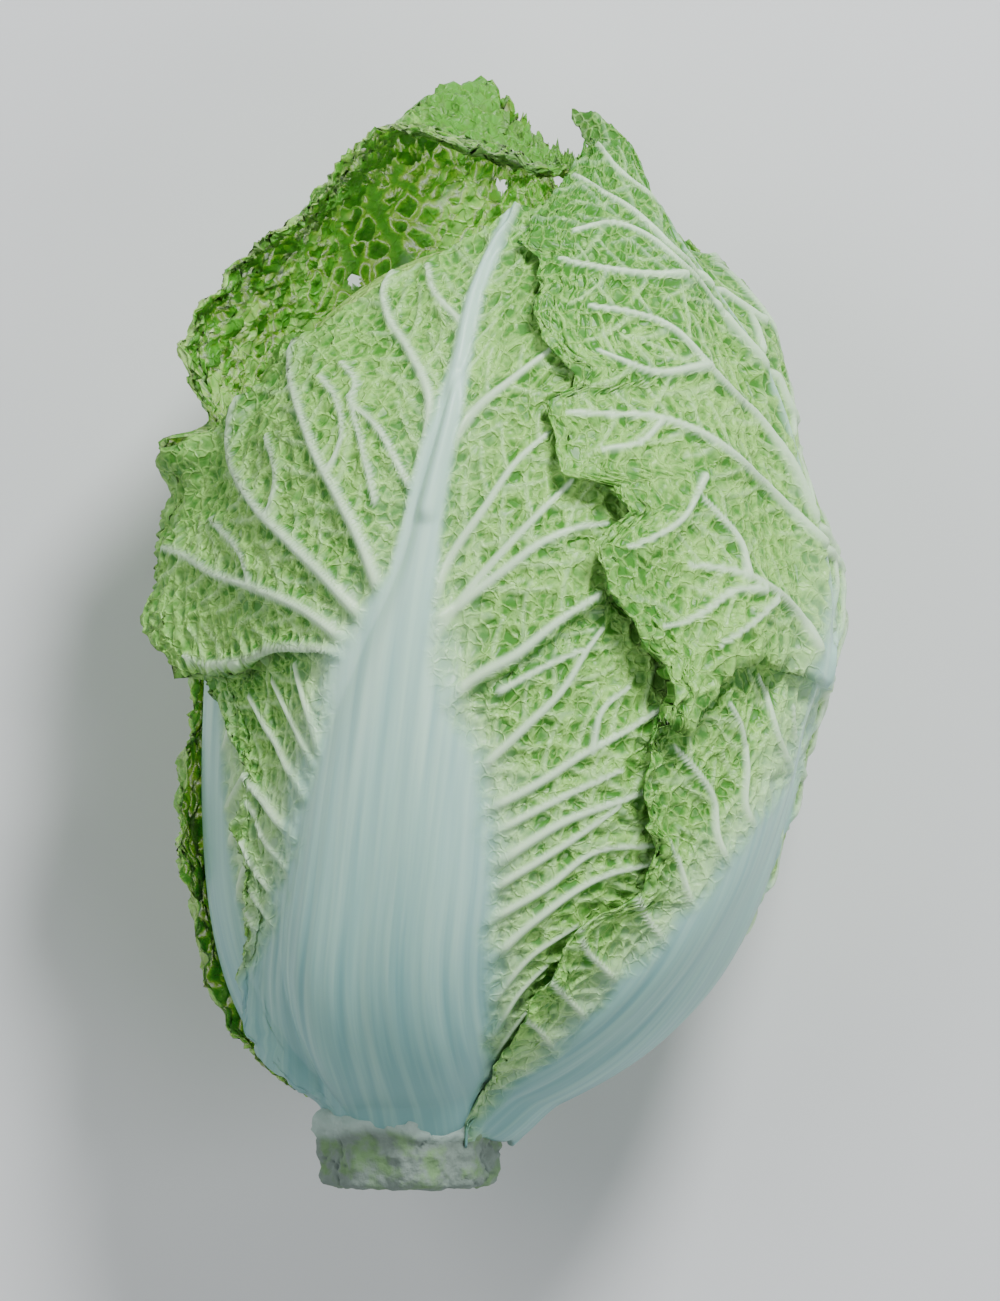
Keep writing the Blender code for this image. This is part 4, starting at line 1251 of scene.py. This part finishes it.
def make_stem(material):
    """The butt: a ring of ragged leaf scars round a dry cut face."""
    rows, columns = STEM_GRID
    profile = np.array(STEM_PROFILE)
    run = run_of(profile)
    t = np.linspace(0, run[-1], rows)
    y, radius = [curve(np.column_stack([run, part]), t)[:, None] + np.zeros(columns) for part in profile.T]
    radius = np.maximum(radius, 0.1)
    angle = np.linspace(0, 2 * np.pi, columns, endpoint=False)[None, :] + np.zeros((rows, 1))
    round_stem = angle * STEM_RADIUS
    side = ramp(radius, 19, 3)
    scar = cells(round_stem, y * 2.2, SCAR_SIZE, 55)
    crack = (1 - smooth(scar / 0.6)) * side * smooth(0.5 + noise(round_stem, y, 6.0, 9))
    knobbly = noise(round_stem, y, 4.0, 51) * 0.8 + noise(round_stem, y, 1.5, 52) * 0.8
    rings = 0.35 * np.cos(2 * np.pi * radius / 3.4 + noise(angle * 3, radius, 4.0, 53)) * (1 - side)
    radius = radius + side * (0.9 * knobbly - 0.7 * crack + 0.9 * np.sin(STEM_SCARS * angle + 1))
    y = y + rings + (1 - side) * 0.4 * noise(radius * np.cos(angle), radius * np.sin(angle), 2.0, 54)
    points = np.stack([STEM_MIDDLE_X + radius * np.sin(angle), y, radius * np.cos(angle)], axis=-1)
    points = (points + head_shift()) * MM
    index = np.arange(rows * columns).reshape(rows, columns)
    beside = np.roll(index, -1, axis=1)
    faces = np.stack([index[:-1], index[1:], beside[1:], beside[:-1]], axis=-1).reshape(-1, 4).tolist()
    faces += [index[0].tolist(), index[-1, ::-1].tolist()]
    fresh = smooth((y + 132.5 + 1.5 * np.sin(4 * angle)) / 3.0)
    obj = add_piece("napa_stem", points, faces, material, {"crack": crack, "fresh": fresh})
    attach(obj, "root")
    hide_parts("stem")


def colour(name, text, description):
    """A colour that the user may change, given as sRGB hex."""
    return bpy.props.FloatVectorProperty(
        name=name, description=description, default=srgb(text), subtype="COLOR", size=4, min=0, max=1
    )


def length(name, size, description):
    """A length that the user may change, given in millimetres."""
    return bpy.props.FloatProperty(
        name=name, description=description, default=size * MM, unit="LENGTH", min=0
    )


class CabbageSettings(bpy.types.PropertyGroup):
    blade_pale: colour("Blade, pale", "#A2DA70", "Raised parts of the outer leaves")
    # Deep colours: where the painted shade in hollows, beside veins and under pleats takes the blade, and its
    # own darker blotches.
    blade_deep: colour("Blade, deep", "#408426", "Hollows of the outer leaves")
    blade_margin: colour("Blade, margin", "#62AC3C", "Margins of the outer leaves")
    vein: colour("Vein", "#C4E4BC", "Veins of the outer leaves")
    # The back leaf's deep and margin colours are lighter than the outer leaves' to lift the shade it lies in:
    # painted light.
    back_pale: colour("Back leaf, pale", "#A6DA76", "Raised parts of the dark back leaf")
    back_deep: colour("Back leaf, deep", "#569A32", "Hollows of the dark back leaf")
    back_margin: colour("Back leaf, margin", "#98D068", "Margin of the dark back leaf")
    back_vein: colour("Back leaf, vein", "#B4D0AC", "Veins of the dark back leaf")
    stalk_tip: colour("Stalk, upper end", "#B8DECB", "Stalks and midribs towards the leaf tips")
    # The stalk's lower colour is painted shade: darker and blue-grey towards the cut stem.
    stalk_base_shade: colour("Stalk, lower end", "#7CACAA", "Stalks towards the cut stem")
    heart_pale: colour("Heart, pale", "#BFE488", "Raised parts of the packed inner leaves")
    heart_deep: colour("Heart, deep", "#7CB84A", "Hollows of the packed inner leaves")
    stem_flesh: colour("Stem", "#78887F", "Dried cut face and leaf scars")
    stem_patch: colour("Stem, green patches", "#6E8E64", "Remains of leaf base on the stem")
    net_cell: length("Net", 3.8, "Size of the fine net between the veins")
    wave_height: length("Waves", 2.2, "Height of the small waves along the margins")
    camera_distance: length("Camera distance", 2500, "Height of the camera over the floor")


class CABBAGE_OT_stage(bpy.types.Operator):
    """Adds the floor, the lights and the camera"""

    bl_idname = "cabbage.stage"
    bl_label = "Add stage"

    def execute(self, context):
        bpy.ops.mesh.primitive_plane_add(size=FLOOR_SIZE, location=(0, 0, -FLOOR_DROP))
        floor = context.object
        floor.name = "floor"
        floor.data.materials.append(floor_material())
        world = bpy.data.worlds.new("studio")
        world.use_nodes = True
        sky = world.node_tree.nodes["Background"]
        sky.inputs["Color"].default_value = DAYLIGHT
        sky.inputs["Strength"].default_value = DAYLIGHT_STRENGTH
        context.scene.world = world
        for spot, size, power in LAMPS:
            lamp = bpy.data.lights.new("softbox", "AREA")
            lamp.shape = "DISK"
            lamp.size = size
            lamp.energy = power
            box = bpy.data.objects.new("softbox", lamp)
            box.location = spot
            looks = Vector((0, 0, HEAD_MIDDLE)) - Vector(spot)
            box.rotation_euler = looks.to_track_quat("-Z", "Y").to_euler()
            context.scene.collection.objects.link(box)
        distance = context.scene.cabbage.camera_distance
        camera = bpy.data.cameras.new("camera")
        camera.sensor_width = SENSOR
        camera.lens = SENSOR * (distance - HEAD_MIDDLE) / (PHOTO_HEIGHT * MM_PER_PIXEL * MM)
        camera.clip_end = CLIP_END
        eye = bpy.data.objects.new("camera", camera)
        middle = plan([(PHOTO_WIDTH / 2, PHOTO_HEIGHT / 2)])[0] + head_shift()[:2]
        eye.location = (middle[0] * MM, middle[1] * MM, distance)
        context.scene.collection.objects.link(eye)
        context.scene.camera = eye
        return {"FINISHED"}


class CABBAGE_OT_leaves(bpy.types.Operator):
    """Builds the five wrapper leaves"""

    bl_idname = "cabbage.leaves"
    bl_label = "Build leaves"

    def execute(self, context):
        own = context.scene.cabbage
        stalk = own.stalk_tip, own.stalk_base_shade
        light_colours = own.blade_pale, own.blade_deep, own.blade_margin, own.vein
        dark_colours = own.back_pale, own.back_deep, own.back_margin, own.back_vein
        green = leaf_material("napa_leaf", *light_colours, *stalk)
        dark = leaf_material("napa_leaf_dark", *dark_colours, *stalk, BACK_LEAF_GLOW, BACK_LEAF_NET_TINT)
        for name in LEAVES:
            if name == "leaf_back":
                make_leaf(name, dark)
            else:
                make_leaf(name, green)
        return {"FINISHED"}


class CABBAGE_OT_heart(bpy.types.Operator):
    """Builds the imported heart"""

    bl_idname = "cabbage.heart"
    bl_label = "Build heart"

    def execute(self, context):
        own = context.scene.cabbage
        blade_colours = own.heart_pale, own.heart_deep, own.heart_deep, own.heart_pale
        make_heart(leaf_material("napa_heart_leaf", *blade_colours, own.stalk_tip, own.stalk_base_shade))
        return {"FINISHED"}


class CABBAGE_OT_stem(bpy.types.Operator):
    """Builds the cut stem"""

    bl_idname = "cabbage.stem"
    bl_label = "Build stem"

    def execute(self, context):
        make_stem(stem_material())
        return {"FINISHED"}


class CABBAGE_PT_panel(bpy.types.Panel):
    """Lists the builders"""

    bl_label = "Napa cabbage"
    bl_idname = "CABBAGE_PT_panel"
    bl_space_type = "VIEW_3D"
    bl_region_type = "UI"
    bl_category = "Cabbage"

    def draw(self, context):
        for key in CabbageSettings.__annotations__:
            self.layout.prop(context.scene.cabbage, key)
        for kind in OPERATORS:
            self.layout.operator(kind.bl_idname)


OPERATORS = (CABBAGE_OT_stage, CABBAGE_OT_heart, CABBAGE_OT_stem, CABBAGE_OT_leaves)
CLASSES = (CabbageSettings,) + OPERATORS + (CABBAGE_PT_panel,)


def register():
    for kind in CLASSES:
        bpy.utils.register_class(kind)
    bpy.types.Scene.cabbage = bpy.props.PointerProperty(type=CabbageSettings)


def unregister():
    del bpy.types.Scene.cabbage
    for kind in reversed(CLASSES):
        bpy.utils.unregister_class(kind)


def main():
    register()
    bpy.ops.cabbage.stage()
    bpy.ops.cabbage.heart()
    bpy.ops.cabbage.stem()
    bpy.ops.cabbage.leaves()


if __name__ == "__main__":
    main()
